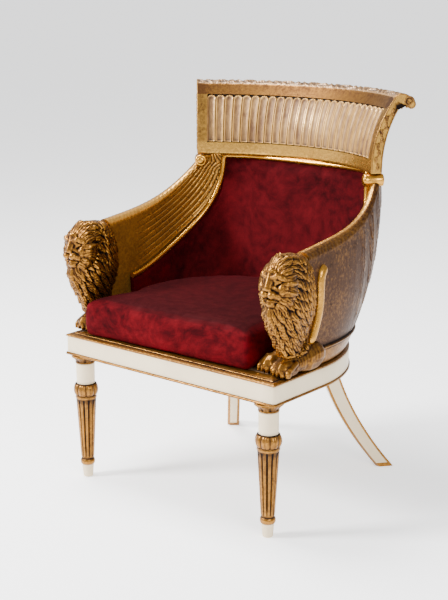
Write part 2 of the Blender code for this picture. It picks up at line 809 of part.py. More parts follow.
def edge_stations():
    """Stations along the velvet's edge, closer together where it turns up at the corners."""
    corner = VELVET_TOP_BEARING / 90
    side = [corner * (1 - (1 - step / EDGE_SIDE_STEPS) ** 2.2) for step in range(EDGE_SIDE_STEPS + 1)]
    middle = [corner + (2 - 2 * corner) * step / EDGE_TOP_STEPS for step in range(1, EDGE_TOP_STEPS)]
    return side + middle + [2 - station for station in side[::-1]]


def back_upholstery():
    shift = 3 * EDGE_BEAD_RADIUS / (RAIL_HALF_WIDTH * math.pi / 2)
    sections = []
    for station in edge_stations():
        near = lining_inset(station)
        far = near + VELVET_THICKNESS
        top = velvet_top(min(station, 2 - station) - shift) - 2.4 * EDGE_BEAD_RADIUS
        levels = [top + (SHELL_BASE - top) * level / LINING_LEVELS for level in range(LINING_LEVELS + 1)]
        rows = [(near, z) for z in levels[::-1]] + [(far, z) for z in levels]
        sections.append([shell_point(station, z, inset) for inset, z in rows])
    place("back_upholstery", loft("back_upholstery", sections), VELVET, 0.9)


def upholstery_bead():
    curve = bpy.data.curves.new("upholstery_bead", "CURVE")
    curve.dimensions = "3D"
    curve.bevel_depth = EDGE_BEAD_RADIUS
    curve.bevel_resolution = 1
    curve.use_fill_caps = True
    stations = edge_stations()
    spline = curve.splines.new("POLY")
    spline.points.add(len(stations) - 1)
    for knot, station in zip(spline.points, stations):
        z = velvet_top(station) - EDGE_BEAD_RADIUS - GAP
        point = shell_point(station, z, lining_inset(station) + EDGE_BEAD_RADIUS)
        knot.co = (*point, 1)
    place("upholstery_bead", curve, GILT, 0.3, 0.9)


def seat_cushion():
    bottom = SEAT_LEVEL + GAP
    inner = WING_THICKNESS + GAP + VELVET_THICKNESS + CUSHION_SIDE_CLEARANCE
    rear_inner = BACK_THICKNESS + GAP + VELVET_THICKNESS + CUSHION_SIDE_CLEARANCE
    half = SHELL_HALF_WIDTH - inner
    depth = SHELL_REAR_FOOT - rear_inner - RAIL_ARC_CENTRE
    outline = [CUSHION_FRONT_LEFT, CUSHION_FRONT_RIGHT]
    outline.append(Vector((CUSHION_FRONT_HALF_WIDTH, WING_FRONT + 0.030)))
    for step in range(ARC_STEPS + 1):
        angle = math.pi * step / ARC_STEPS
        x = half * math.cos(angle)
        outline.append(Vector((x, RAIL_ARC_CENTRE + depth * math.sin(angle))))
    outline.append(Vector((-CUSHION_FRONT_HALF_WIDTH, WING_FRONT + 0.030)))
    outline.append(Vector((-CUSHION_FRONT_HALF_WIDTH, PAW_FRONT - 0.006)))
    outline.append(Vector((CUSHION_FRONT_LEFT.x, PAW_FRONT - 0.006)))
    middle = Vector((0, RAIL_ARC_CENTRE))
    sections = []
    for inset, share in ((0.010, 0.0), (0.0, 0.2), (0.0, 0.7), (0.018, 0.93), (0.09, 1.0)):
        z = bottom + CUSHION_THICKNESS * share
        section = []
        for point in outline:
            pull = (middle - point).normalized() * inset
            section.append(Vector((point.x + pull.x, point.y + pull.y, z)))
        sections.append(section)
    place("seat_cushion", loft("seat_cushion", sections), VELVET, 0.9)


seat_frame()
front_legs()
rear_legs()
back_shell()
winged_lions()
crest()
back_upholstery()
upholstery_bead()
seat_cushion()
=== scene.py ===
"""A gilt and ivory lion armchair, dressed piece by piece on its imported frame."""
import math

import bmesh
import bpy
import numpy as np
from mathutils import Matrix, Vector


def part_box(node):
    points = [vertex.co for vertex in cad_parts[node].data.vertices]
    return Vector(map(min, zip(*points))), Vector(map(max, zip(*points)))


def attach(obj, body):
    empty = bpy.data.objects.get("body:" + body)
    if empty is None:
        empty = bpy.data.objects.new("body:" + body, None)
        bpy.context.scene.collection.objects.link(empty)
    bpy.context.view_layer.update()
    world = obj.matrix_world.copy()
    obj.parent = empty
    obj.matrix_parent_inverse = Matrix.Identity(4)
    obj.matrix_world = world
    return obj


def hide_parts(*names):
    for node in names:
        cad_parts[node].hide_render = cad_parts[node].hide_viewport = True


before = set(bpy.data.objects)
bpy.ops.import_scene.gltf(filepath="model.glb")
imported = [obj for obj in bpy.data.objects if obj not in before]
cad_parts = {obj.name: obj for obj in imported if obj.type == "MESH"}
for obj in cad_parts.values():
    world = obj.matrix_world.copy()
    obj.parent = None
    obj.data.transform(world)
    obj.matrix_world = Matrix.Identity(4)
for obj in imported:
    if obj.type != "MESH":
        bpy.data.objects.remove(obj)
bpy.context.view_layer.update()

# Seat rail
# A D-shaped rail of beech, sawn and glued up, planed flat on its face and painted
# ivory over gesso. The paint has yellowed a little and is rubbed at its edges.
rail_low, rail_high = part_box("seat_rail")
LEG_LINE = sum(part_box("front_leg_right")[i][1] for i in (0, 1)) / 2
IVORY = (0.71, 0.575, 0.37, 1)
IVORY_STAIN_AND_SHADE = (0.42, 0.32, 0.19, 1)
WELD_GAP = 0.00001
SHARP_EDGE = math.radians(50)


def add_node(tree, kind, inputs=None, **settings):
    """One shader node, with its inputs set to values or joined to other sockets."""
    node = tree.nodes.new("ShaderNode" + kind)
    for key, value in settings.items():
        setattr(node, key, value)
    for key, value in (inputs or {}).items():
        if isinstance(value, bpy.types.NodeSocket):
            tree.links.new(value, node.inputs[key])
        else:
            node.inputs[key].default_value = value
    return node


def object_place(tree):
    return add_node(tree, "TexCoord").outputs["Object"]


def blend_colours(tree, share, first, second):
    return add_node(tree, "Mix", {0: share, 6: first, 7: second}, data_type="RGBA").outputs[2]


def ramp_between(tree, value, low, high, out_low=0.0, out_high=1.0):
    inputs = {"Value": value, "From Min": low, "From Max": high, "To Min": out_low, "To Max": out_high}
    return add_node(tree, "MapRange", inputs).outputs[0]


def arithmetic(tree, kind, first, second):
    return add_node(tree, "Math", {0: first, 1: second}, operation=kind).outputs[0]


def finish_group(name, inputs):
    """An empty shader group with named sockets. It puts out a colour, a roughness and a height."""
    group = bpy.data.node_groups.new(name, "ShaderNodeTree")
    for label, kind in inputs.items():
        group.interface.new_socket(label, in_out="INPUT", socket_type="NodeSocket" + kind)
    for label, kind in (("Color", "Color"), ("Rough", "Float"), ("Height", "Float")):
        group.interface.new_socket(label, in_out="OUTPUT", socket_type="NodeSocket" + kind)
    return group, group.nodes.new("NodeGroupInput").outputs, group.nodes.new("NodeGroupOutput").inputs


def cloud(tree, place, scale, detail=6.0, rough=0.6):
    inputs = {"Vector": place, "Scale": scale, "Detail": detail, "Roughness": rough}
    return add_node(tree, "TexNoise", inputs).outputs["Fac"]


def old_paint_group():
    inputs = {"Paint": "Color", "Stain and shade": "Color", "Hollow": "Float"}
    group, given, out = finish_group("old paint", inputs)
    place = object_place(group)
    patches = ramp_between(group, cloud(group, place, 9.0), 0.42, 0.75)
    specks = ramp_between(group, cloud(group, place, 160.0, 4.0), 0.63, 0.74)
    yellowed = arithmetic(group, "MULTIPLY", patches, 0.28)
    colour = blend_colours(group, yellowed, given["Paint"], given["Stain and shade"])
    # Painted shade: the paint is darkened in its hollows from the relief; the fine specks are dirt.
    painted_hollow_shade = ramp_between(group, given["Hollow"], 0.55, 0.85)
    specks_and_painted_shade = arithmetic(group, "MAXIMUM", arithmetic(group, "MULTIPLY", specks, 0.35), painted_hollow_shade)
    colour = blend_colours(group, arithmetic(group, "MULTIPLY", specks_and_painted_shade, 0.8), colour, given["Stain and shade"])
    group.links.new(colour, out["Color"])
    group.links.new(ramp_between(group, patches, 0.0, 1.0, 0.34, 0.52), out["Rough"])
    group.links.new(cloud(group, place, 70.0, 3.0), out["Height"])
    return group


OLD_PAINT = old_paint_group()


def new_finish(name):
    material = bpy.data.materials.new(name)
    material.use_nodes = True
    tree = material.node_tree
    return material, tree, tree.nodes["Principled BSDF"].inputs


def relief_value(tree):
    return add_node(tree, "Attribute", attribute_name="relief").outputs["Fac"]


def join_finish(tree, shader, made, depth):
    """Joins a finish group's outputs to the shader, its height as a bump."""
    tree.links.new(made.outputs["Color"], shader["Base Color"])
    tree.links.new(made.outputs["Rough"], shader["Roughness"])
    inputs = {"Strength": 0.5, "Distance": depth, "Height": made.outputs["Height"]}
    tree.links.new(add_node(tree, "Bump", inputs).outputs["Normal"], shader["Normal"])


def set_values(sockets, values):
    for key, value in values.items():
        sockets[key].default_value = value


def ivory_paint():
    material, tree, shader = new_finish("ivory paint")
    inputs = {"Paint": IVORY, "Stain and shade": IVORY_STAIN_AND_SHADE, "Hollow": relief_value(tree)}
    join_finish(tree, shader, add_node(tree, "Group", inputs, node_tree=OLD_PAINT), 0.0006)
    set_values(shader, {"Coat Weight": 0.12, "Coat Roughness": 0.3})
    return material


IVORY_PAINT = ivory_paint()


def dress(piece, node, materials):
    """Puts a new piece on the frame in the place of its CAD node."""
    for material in materials:
        piece.data.materials.append(material)
    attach(piece, "root")
    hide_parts(node)
    return piece


def show(name, mesh):
    piece = bpy.data.objects.new(name, mesh)
    bpy.context.scene.collection.objects.link(piece)
    return piece


def skin(name, grid, ends=True):
    """A mesh over a grid of points: columns along the piece, rows round its section."""
    columns, rows = grid.shape[:2]
    index = np.arange(columns * rows).reshape(columns, rows)
    index = np.concatenate([index, index[:, :1]], axis=1)
    corners = [index[:-1, :-1], index[:-1, 1:], index[1:, 1:], index[1:, :-1]]
    faces = np.stack(corners, axis=-1).reshape(-1, 4).tolist()
    if ends:
        faces += [list(range(rows))[::-1], [(columns - 1) * rows + row for row in range(rows)]]
    mesh = bpy.data.meshes.new(name)
    mesh.from_pydata(grid.reshape(-1, 3).tolist(), [], faces)
    bm = bmesh.new()
    bm.from_mesh(mesh)
    bmesh.ops.recalc_face_normals(bm, faces=bm.faces)
    bm.to_mesh(mesh)
    bm.free()
    mesh.shade_smooth()
    mesh.set_sharp_from_angle(angle=SHARP_EDGE)
    return mesh


def weld_seam(mesh):
    """Joins the two ends of a mesh that runs once round the rail."""
    bm = bmesh.new()
    bm.from_mesh(mesh)
    bmesh.ops.remove_doubles(bm, verts=bm.verts, dist=WELD_GAP)
    bm.to_mesh(mesh)
    bm.free()


# The D in plan: a straight front, two straight sides and a half round
RAIL_HALF, RAIL_FRONT = rail_high[0], rail_low[1]
RAIL_CENTRE = rail_high[1] - rail_high[0]
FRONT_RUN = 2 * RAIL_HALF
SIDE_RUN = RAIL_CENTRE - RAIL_FRONT
ROUND_RUN = math.pi * RAIL_HALF
WHOLE_RUN = FRONT_RUN + 2 * SIDE_RUN + ROUND_RUN


def outline_point(share, inset):
    """A point of the D at a share of its length, moved in from the rail's face."""
    half, front = RAIL_HALF - inset, RAIL_FRONT + inset
    run = share * WHOLE_RUN
    if run < FRONT_RUN:
        return (-half + 2 * half * run / FRONT_RUN, front)
    run -= FRONT_RUN
    if run < SIDE_RUN:
        return (half, front + (RAIL_CENTRE - front) * run / SIDE_RUN)
    run -= SIDE_RUN
    if run < ROUND_RUN:
        angle = math.pi * run / ROUND_RUN
        return (half * math.cos(angle), RAIL_CENTRE + half * math.sin(angle))
    run -= ROUND_RUN
    return (-half, RAIL_CENTRE - (RAIL_CENTRE - front) * run / SIDE_RUN)


def swept_rail(name, node, section):
    """A piece that follows the D, with a small chamfer at each front corner. The section's
    rises start at its foot, or at its top where they are below zero."""
    low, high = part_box(node)
    chamfer = 0.005
    step_back = 0.001
    runs = list(np.linspace(chamfer, FRONT_RUN - chamfer, 20))
    runs += list(np.linspace(FRONT_RUN + chamfer, FRONT_RUN + SIDE_RUN - step_back, 12))
    runs += list(np.linspace(FRONT_RUN + SIDE_RUN, WHOLE_RUN - SIDE_RUN, 150))
    runs += list(np.linspace(WHOLE_RUN - SIDE_RUN + step_back, WHOLE_RUN - chamfer, 12))
    grid = []
    for run in runs + runs[:1]:
        line = []
        for inset, rise in section:
            z = low[2] + rise if rise >= 0 else high[2] + rise + WELD_GAP
            line.append((*outline_point(run / WHOLE_RUN, inset), z))
        grid.append(line)
    mesh = skin(name, np.array(grid), ends=False)
    weld_seam(mesh)
    return show(name, mesh)


rail_face = [(0.046, 0.0), (0.0012, 0.0), (0.0004, 0.0004), (0.0, 0.0012), (0.0, 0.010), (0.0, 0.020)]
rail_face += [(0.0, 0.030), (0.0, -0.0012), (0.0004, -0.0004), (0.0012, -WELD_GAP), (0.046, -WELD_GAP)]
dress(swept_rail("painted_rail", "seat_rail", rail_face), "seat_rail", [IVORY_PAINT])

# Gilt strips of the rail
# A strip carved with a row of small leaves, glued on top of the rail, and a thin
# plain strip under it. Both are water gilt over a red-brown bole that shows where
# the gold has rubbed away. The carving's hollows are painted in the same bole colour
# as shade, and its raised parts are painted lighter as highlight.
GOLD_BRIGHT = (0.345, 0.152, 0.021, 1)
GOLD_WARM = (0.050, 0.0165, 0.0033, 1)
BOLE_AND_HOLLOW_SHADE = (0.0055, 0.0018, 0.0008, 1)
LEAF_PITCH = 0.013
LEAF_LEAN = 0.022
STRIP_COLUMNS_PER_LEAF = 10


def mesh_vectors(mesh, key):
    """The mesh's points, under "co", or its normals, under "normal"."""
    values = np.empty(len(mesh.vertices) * 3)
    mesh.vertices.foreach_get(key, values)
    return values.reshape(-1, 3)


def rubbed_points(mesh, rounds, pull):
    """The mesh's points after rounds of smoothing, each pulled towards its neighbours."""
    points = mesh_vectors(mesh, "co")
    count = len(points)
    edges = np.empty(len(mesh.edges) * 2, dtype=np.int64)
    mesh.edges.foreach_get("vertices", edges)
    first, second = edges.reshape(-1, 2).T
    share = np.bincount(first, minlength=count) + np.bincount(second, minlength=count)
    for _ in range(rounds):
        total = np.stack(
            [np.bincount(first, points[second, k], count) + np.bincount(second, points[first, k], count)
             for k in range(3)], axis=1)
        points = (1 - pull) * points + pull * total / np.maximum(share, 1)[:, None]
    return points


def mark_relief(mesh, rounds, depth):
    """Stores how far each point lies below the smoothed surface: 0 proud, 1 hollow."""
    gaps = rubbed_points(mesh, rounds, 0.6) - mesh_vectors(mesh, "co")
    below = np.sum(gaps * mesh_vectors(mesh, "normal"), axis=1)
    layer = mesh.attributes.new("relief", "FLOAT", "POINT")
    layer.data.foreach_set("value", np.clip(0.5 + 0.5 * below / depth, 0, 1))


def aged_gilding_group():
    inputs = dict.fromkeys(("Bright", "Warm", "Bole and shade"), "Color")
    inputs.update(dict.fromkeys(("Relief", "Rub", "Dull", "Streak"), "Float"))
    group, given, out = finish_group("aged gilding", inputs)
    place = object_place(group)
    patches = ramp_between(group, cloud(group, place, 11.0, 7.0), 0.36, 0.66)
    mottle = ramp_between(group, cloud(group, place, 130.0, 7.0, 0.72), 0.40, 0.62)
    upright = add_node(group, "Mapping", {"Vector": place, "Scale": (9.0, 9.0, 1.0)}).outputs[0]
    streaks = ramp_between(group, cloud(group, upright, 18.0, 6.0, 0.6), 0.36, 0.66)
    mottle_mix = {0: given["Streak"], 2: mottle, 3: streaks}
    mottle = add_node(group, "Mix", mottle_mix, data_type="FLOAT").outputs[0]
    # Painted highlight: raised carving is made lighter in tone, from the relief.
    proud = ramp_between(group, given["Relief"], 0.52, 0.24)
    tone = arithmetic(group, "MULTIPLY", patches, 0.26)
    for part, weight in ((mottle, 0.42), (proud, 0.50)):
        tone = arithmetic(group, "ADD", tone, arithmetic(group, "MULTIPLY", part, weight))
    tone = ramp_between(group, arithmetic(group, "SUBTRACT", tone, given["Dull"]), 0.0, 1.0)
    colour = blend_colours(group, tone, given["Warm"], given["Bright"])
    # Painted shade: the carving's hollows turn to the bole colour; worn joins this painted shade with the
    # real rubbed wear.
    hollow = ramp_between(group, given["Relief"], 0.48, 0.70)
    rubbed = arithmetic(group, "SUBTRACT", cloud(group, place, 42.0, 9.0, 0.75), 0.62)
    rubbed = ramp_between(group, arithmetic(group, "ADD", rubbed, given["Rub"]), 0.0, 0.12)
    worn = arithmetic(group, "MAXIMUM", hollow, arithmetic(group, "MULTIPLY", rubbed, 0.75))
    colour = blend_colours(group, worn, colour, given["Bole and shade"])
    group.links.new(colour, out["Color"])
    gloss = ramp_between(group, tone, 0.0, 1.0, 0.46, 0.22)
    group.links.new(arithmetic(group, "ADD", gloss, arithmetic(group, "MULTIPLY", worn, 0.3)), out["Rough"])
    group.links.new(cloud(group, place, 120.0, 5.0), out["Height"])
    return group


AGED_GILDING = aged_gilding_group()


def gilding(name, rub, dull, metallic, bright=GOLD_BRIGHT, warm=GOLD_WARM, streak=0.0):
    material, tree, shader = new_finish(name)
    given = {"Bright": bright, "Warm": warm, "Bole and shade": BOLE_AND_HOLLOW_SHADE, "Rub": rub, "Dull": dull, "Streak": streak}
    given["Relief"] = relief_value(tree)
    join_finish(tree, shader, add_node(tree, "Group", given, node_tree=AGED_GILDING), 0.0010)
    shader["Metallic"].default_value = metallic
    return material


STRIP_GILDING = gilding("gilding of the strips", rub=0.03, dull=0.34, metallic=0.85)
BRIGHT_GILDING = gilding("burnished gilding", rub=-0.10, dull=-0.45, metallic=0.95,
                         bright=(0.52, 0.250, 0.032, 1), warm=(0.24, 0.092, 0.014, 1))


def carved_strip():
    """The strip's section is a row of leaves, a bead, a hollow and a flat top."""
    low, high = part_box("rail_top_moulding")
    columns = round(WHOLE_RUN / LEAF_PITCH) * STRIP_COLUMNS_PER_LEAF
    height = high[2] - low[2]
    section = [(0.046, 0.0), (0.030, 0.0), (0.012, 0.0), (0.0, 0.0), (-0.0008, 0.14), (-0.0008, 0.42)]
    section += [(0.001, 0.55), (0.004, 0.66), (0.008, 0.76), (0.0125, 0.85), (0.0145, 0.90), (0.019, 0.94)]
    section += [(0.0215, 0.965), (0.030, 0.985), (0.046, 0.985)]
    leaf_rows, groove_rows = (5, 6, 7, 8), (9, 11)
    grid = np.empty((columns, len(section), 3))
    for column in range(columns):
        for row, (inset, rise) in enumerate(section):
            phase = 2 * abs((column / STRIP_COLUMNS_PER_LEAF + inset / LEAF_LEAN) % 1 - 0.5)
            leaf = math.sqrt(max(0.0, 1 - phase**2)) - 0.2 * (phase < 0.12)
            carved = 0.0008 * (1 - leaf) if row in leaf_rows else 0.0
            carved += 0.0012 if row in groove_rows else 0.0
            x, y = outline_point(column / columns, inset + carved)
            grid[column, row] = (x, y, low[2] + height * rise - carved * 0.6)
    mesh = skin("carved_strip", np.concatenate([grid, grid[:1]]), ends=False)
    weld_seam(mesh)
    mark_relief(mesh, 6, 0.0008)
    dress(show("carved_strip", mesh), "rail_top_moulding", [STRIP_GILDING])


carved_strip()
thin_section = [(0.012, 0.0), (-0.0010, 0.0), (-0.0024, 0.0007), (-0.0030, 0.0020), (-0.0030, -0.0020)]
thin_section += [(-0.0024, -0.0007), (-0.0010, -WELD_GAP), (0.012, -WELD_GAP)]
piece = swept_rail("thin_strip", "rail_bottom_bead", thin_section)
dress(piece, "rail_bottom_bead", [STRIP_GILDING])

# Seat board
# A plain board let into the rail, left unfinished because the cushion covers it.


def plain_wood():
    material, tree, shader = new_finish("plain wood")
    place = object_place(tree)
    stretched = add_node(tree, "Mapping", {"Vector": place, "Scale": (1.5, 22.0, 22.0)}).outputs[0]
    grain = ramp_between(tree, cloud(tree, stretched, 6.0, 8.0), 0.35, 0.7)
    colour = blend_colours(tree, grain, (0.13, 0.070, 0.030, 1), (0.060, 0.030, 0.012, 1))
    tree.links.new(colour, shader["Base Color"])
    bump = add_node(tree, "Bump", {"Strength": 0.4, "Distance": 0.0006, "Height": grain})
    tree.links.new(bump.outputs["Normal"], shader["Normal"])
    shader["Roughness"].default_value = 0.7
    return material


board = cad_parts["seat_board"]
board.data.materials.clear()
board.data.materials.append(plain_wood())

# Front legs
# Each is turned from one length of beech: a white foot, a gilt ring, a tapered shaft
# with hollow flutes, a collar of leaves, a white neck and a gilt leafy capital.
LEG_SIDES = 96
LEG_FLUTES = 12
LEG_LEAVES = 8


def turned(places, painted):
    """Plain turned rows, with neither flute nor leaf."""
    return [(z, radius, 0, 0, painted) for z, radius in places]


def leg_profile(top):
    """(height, radius, flute depth, leaf depth, painted) up the leg."""
    rows = turned([(0.0, 0.0108), (0.0015, 0.0120), (0.010, 0.0126), (0.030, 0.0142), (0.0325, 0.0143)], 1)
    rows += turned([(0.0332, 0.0160), (0.0355, 0.0176), (0.040, 0.0180), (0.0445, 0.0172)], 0)
    rows += turned([(0.0465, 0.0155), (0.0475, 0.0150), (0.052, 0.0156)], 0)
    for share in np.linspace(0, 1, 13):
        deep = min(1.0, 6 * share + 0.25, 6 * (1 - share) + 0.25)
        rows.append((0.054 + 0.146 * share, 0.0160 + 0.0083 * share, deep, 0, 0))
    rows += turned([(0.203, 0.0250), (0.206, 0.0262), (0.2095, 0.0252), (0.212, 0.0246)], 0)
    for share in np.linspace(0, 1, 13):
        swell = math.sin(math.pi * (0.12 + 0.80 * share)) ** 0.7
        rows.append((0.213 + 0.027 * share, 0.0232 + 0.0072 * swell, 0, 1.0, 0))
    rows += turned([(0.2415, 0.0225)], 0)
    rows += turned([(0.2425, 0.0222), (0.250, 0.0224), (top - 0.024, 0.0226), (top - 0.0205, 0.0226)], 1)
    rows += turned([(top - 0.0200, 0.0236), (top - 0.0175, 0.0238)], 0)
    for share in np.linspace(0, 1, 9):
        rows.append((top - 0.0165 + 0.0125 * share, 0.0232 + 0.0105 * share ** 1.6, 0, 0.7, 0))
    return rows + turned([(top - 0.003, 0.0330), (top, 0.0330)], 0)


def leg_mesh(name, middle, top):
    rows = leg_profile(top)
    grid = np.empty((len(rows), LEG_SIDES, 3))
    for column, (z, radius, flute, leaf, painted) in enumerate(rows):
        for side in range(LEG_SIDES):
            turn = 2 * math.pi * side / LEG_SIDES
            hollow = 0.0030 * flute * max(0.0, math.cos(LEG_FLUTES * turn)) ** 0.6
            edge = abs(2 * (LEG_LEAVES * side / LEG_SIDES % 1) - 1)
            carved = 0.0030 * leaf * (edge**3 + 0.35 * (edge < 0.12))
            reach = radius - hollow - carved
            grid[column, side] = (middle + reach * math.cos(turn), LEG_LINE + reach * math.sin(turn), z)
    mesh = skin(name, grid)
    for face in mesh.polygons:
        painted = rows[face.vertices[0] // LEG_SIDES][4]
        face.material_index = 0 if painted else 1
    mark_relief(mesh, 10, 0.0026)
    return mesh


LEG_GILDING = gilding("gilding of the legs", rub=0.03, dull=0.04, metallic=0.80)
for side in ("left", "right"):
    leg_low, leg_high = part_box("front_leg_" + side)
    mesh = leg_mesh("turned_leg_" + side, (leg_low[0] + leg_high[0]) / 2, leg_high[2])
    dress(show("turned_leg_" + side, mesh), "front_leg_" + side, [IVORY_PAINT, LEG_GILDING])

# Back legs
# Sabre legs sawn from thick board and painted ivory, with a gilt line along each edge
# and a gilt tip where the foot has been rubbed.
REAR_TURN = math.radians(40.0)
REAR_REACH = 0.162
REAR_SLOPE = 0.83
REAR_LINE = 0.0055
REAR_STEPS = 60
REAR_ROWS = 20
LINE_GAP = 0.0002


def sabre_mesh(name, side):
    low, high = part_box("rear_leg_right")
    height = high[2] - low[2]
    out = Vector((math.sin(REAR_TURN), math.cos(REAR_TURN), 0))
    across = Vector((math.cos(REAR_TURN), -math.sin(REAR_TURN), 0))
    top = Vector((0.140, LEG_LINE + 0.402, 0))
    sweep = (REAR_SLOPE * height - REAR_REACH) / height**2
    half = 0.016
    chamfer = 0.0015
    grid = np.empty((REAR_STEPS + 1, REAR_ROWS, 3))
    for column in range(REAR_STEPS + 1):
        z = height * column / REAR_STEPS
        reach = REAR_REACH - REAR_SLOPE * z + sweep * z * z
        slope = 2 * sweep * z - REAR_SLOPE
        deep = (0.033 + 0.008 * z / height) / 2 * math.sqrt(1 + slope * slope)
        line = REAR_LINE * math.sqrt(1 + slope * slope)
        face, edge = half - line, deep - line
        wides = (-face, -face + LINE_GAP, face - LINE_GAP, face, half - chamfer)
        alongs = (deep - chamfer, edge, edge - LINE_GAP, LINE_GAP - edge, -edge)
        corner = []
        for end in (1, -1):
            corner += [(end * deep, end * wide) for wide in wides]
            corner += [(end * along, end * half) for along in alongs]
        for row, (along, wide) in enumerate(corner):
            point = top + out * (reach + along) + across * wide
            grid[column, row] = (side * point.x, point.y, z)
    mesh = skin(name, grid)
    for face in mesh.polygons:
        rows = sorted(vertex % REAR_ROWS for vertex in face.vertices)
        gilt = rows[0] % 10 in (3, 4, 5, 9) or (rows[0] == 0 and rows[-1] == REAR_ROWS - 1)
        tip = min(face.vertices) // REAR_ROWS < 2
        face.material_index = 1 if gilt or tip else 0
    mark_relief(mesh, 6, 0.0015)
    return mesh


for side, sign in (("left", -1), ("right", 1)):
    piece = show("sabre_leg_" + side, sabre_mesh("sabre_leg_" + side, sign))
    dress(piece, "rear_leg_" + side, [IVORY_PAINT, LEG_GILDING])

# Curved back
# The gilt shell that wraps round behind the seat, glued up from staves and carved. Its
# plan is a half round at the rail and grows squarer towards the crest.
SHELL_BASE, SHELL_TOP = (corner[2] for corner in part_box("back_shell"))
WING_HALF = 0.3055
SHELL_DEPTH = 0.458
ARC_BACK = 0.157
ARC_CENTRE = LEG_LINE + ARC_BACK
SEAM = 47.0 / 90
VELVET_CORNER = 53.0 / 90
FIT_GAP = 0.0003
WING_FRONT = 0.092
WING_TOP_FRONT = 0.630
WING_THICK = 0.038
BACK_THICK = 0.020


def shell_plan(station, z):
    """The shell's outer face in plan. Stations: -1 wing's front, 0 start of curve, 1 mid back."""
    station, z = np.broadcast_arrays(np.asarray(station, float), np.asarray(z, float))
    share = (z - SHELL_BASE) / (SHELL_TOP - SHELL_BASE)
    half = WING_HALF + 0.013 * np.sin(math.pi * share) - 0.009 * share**3
    depth = SHELL_DEPTH + 0.074 * share - ARC_BACK
    power = 2.0 + 1.8 * (1 - (1 - share) ** 2)
    bearing = np.maximum(station, 0) * math.pi / 2
    across = np.abs(np.cos(bearing)) / half
    along = np.abs(np.sin(bearing)) / depth
    radius = (across**power + along**power) ** (-1 / power)
    x = np.where(station < 0, half, radius * np.cos(bearing))
    y = ARC_CENTRE + np.where(station < 0, station * (ARC_BACK - WING_FRONT), radius * np.sin(bearing))
    return np.stack([x, y], axis=-1)


def shell_point(station, z, inset):
    """Points of the shell moved in from its outer face, square to the face in plan."""
    along = shell_plan(np.asarray(station) + 0.004, z) - shell_plan(np.asarray(station) - 0.004, z)
    along /= np.linalg.norm(along, axis=-1, keepdims=True)
    inward = np.stack([-along[..., 1], along[..., 0]], axis=-1)
    flat = shell_plan(station, z) + inward * np.asarray(inset)[..., None]
    height = np.broadcast_to(np.asarray(z, float), flat.shape[:-1])
    return np.concatenate([flat, height[..., None]], axis=-1)


def wing_thickness(station):
    share = min(max(station / SEAM, 0.0), 1.0)
    return WING_THICK + (BACK_THICK - WING_THICK) * share * share * (3 - 2 * share)


def velvet_edge(station):
    """Height of the velvet's upper edge, which drops from the corner to the wing's front."""
    share = np.clip(np.minimum(station, 2 - np.asarray(station)) / VELVET_CORNER, 0.0, 1.0)
    return SHELL_TOP - 0.268 * (1 - share**1.4) ** 0.41


def wing_top(station):
    """Height of the wing's top line: nearly level at first, then up to the scroll."""
    z = WING_TOP_FRONT
    for _ in range(30):
        run = (shell_plan(station, z)[..., 1] - LEG_LINE) - WING_FRONT
        wanted = WING_TOP_FRONT + 0.11 * run + 0.0902 * (run / 0.335) ** 4
        z = (z + np.minimum(wanted, SHELL_TOP - FIT_GAP)) / 2
    return z


def shell_run(station):
    """Distance along the shell from the wing's front."""
    station = np.asarray(station, float)
    return np.where(station < 0, (station + 1) * 0.065, 0.065 + 0.29 * station * math.pi / 2)


# The two lines that the inner feathers run between: the velvet's edge and the wing's top
EDGE_STEPS = np.linspace(-1, VELVET_CORNER, 240)
TOP_STEPS = np.linspace(-1, 0.485, 240)
BEAD_LINE = np.stack([shell_run(EDGE_STEPS), velvet_edge(EDGE_STEPS)], axis=-1)
TOP_LINE = np.stack([shell_run(TOP_STEPS), wing_top(TOP_STEPS)], axis=-1)
FEATHER_BANDS = 9
FEATHER_DEPTH = 0.0030
BARB_PITCH = 0.0046


def nearest(place, line):
    """Distance from each place to a line, and how far along the line that is."""
    gaps = np.linalg.norm(place[:, None, :] - line[None, :, :], axis=-1)
    closest = gaps.argmin(axis=1)
    run = np.concatenate([[0], np.cumsum(np.linalg.norm(np.diff(line, axis=0), axis=1))])
    return gaps[np.arange(len(place)), closest], run[closest]


def inner_cut(station, z):
    """Depth of the carved feathers on the inner face: bands that meet at the scroll."""
    station = np.minimum(station, 2 - station)
    place = np.stack([np.broadcast_to(shell_run(station), z.shape), z], axis=-1)
    near_bead, along_bead = nearest(place, BEAD_LINE)
    near_top, along_top = nearest(place, TOP_LINE)
    across = near_bead / (near_bead + near_top + 1e-6)
    along = (along_bead + along_top) / 2
    band = np.floor(np.clip(across, 0, 0.999) * FEATHER_BANDS)
    spot = across * FEATHER_BANDS - band
    small = band >= FEATHER_BANDS - 2
    step = (along / np.where(small, 0.017, 0.044) + 0.37 * band) % 1
    back = np.clip(1 - np.abs(2 * spot - 1) ** 4.5, 0, 1)
    barb = 0.5 + 0.5 * np.cos(2 * math.pi * (along / BARB_PITCH + 1.3 * np.abs(spot - 0.5)))
    proud = back * (0.74 + 0.26 * step) * np.where(step > 0.95, 0.5, 1.0)
    proud -= np.where(small, 0.06, 0.13) * barb * back
    proud = np.maximum(proud, np.clip(1.4 - near_bead / 0.006, 0, 1))
    fade = np.clip((place[:, 0] - 0.085) / 0.05, 0, 1)
    above = (z > velvet_edge(station) - 0.001) * (station < VELVET_CORNER)
    return FEATHER_DEPTH * (1 - np.clip(proud, 0, 1)) * fade * above


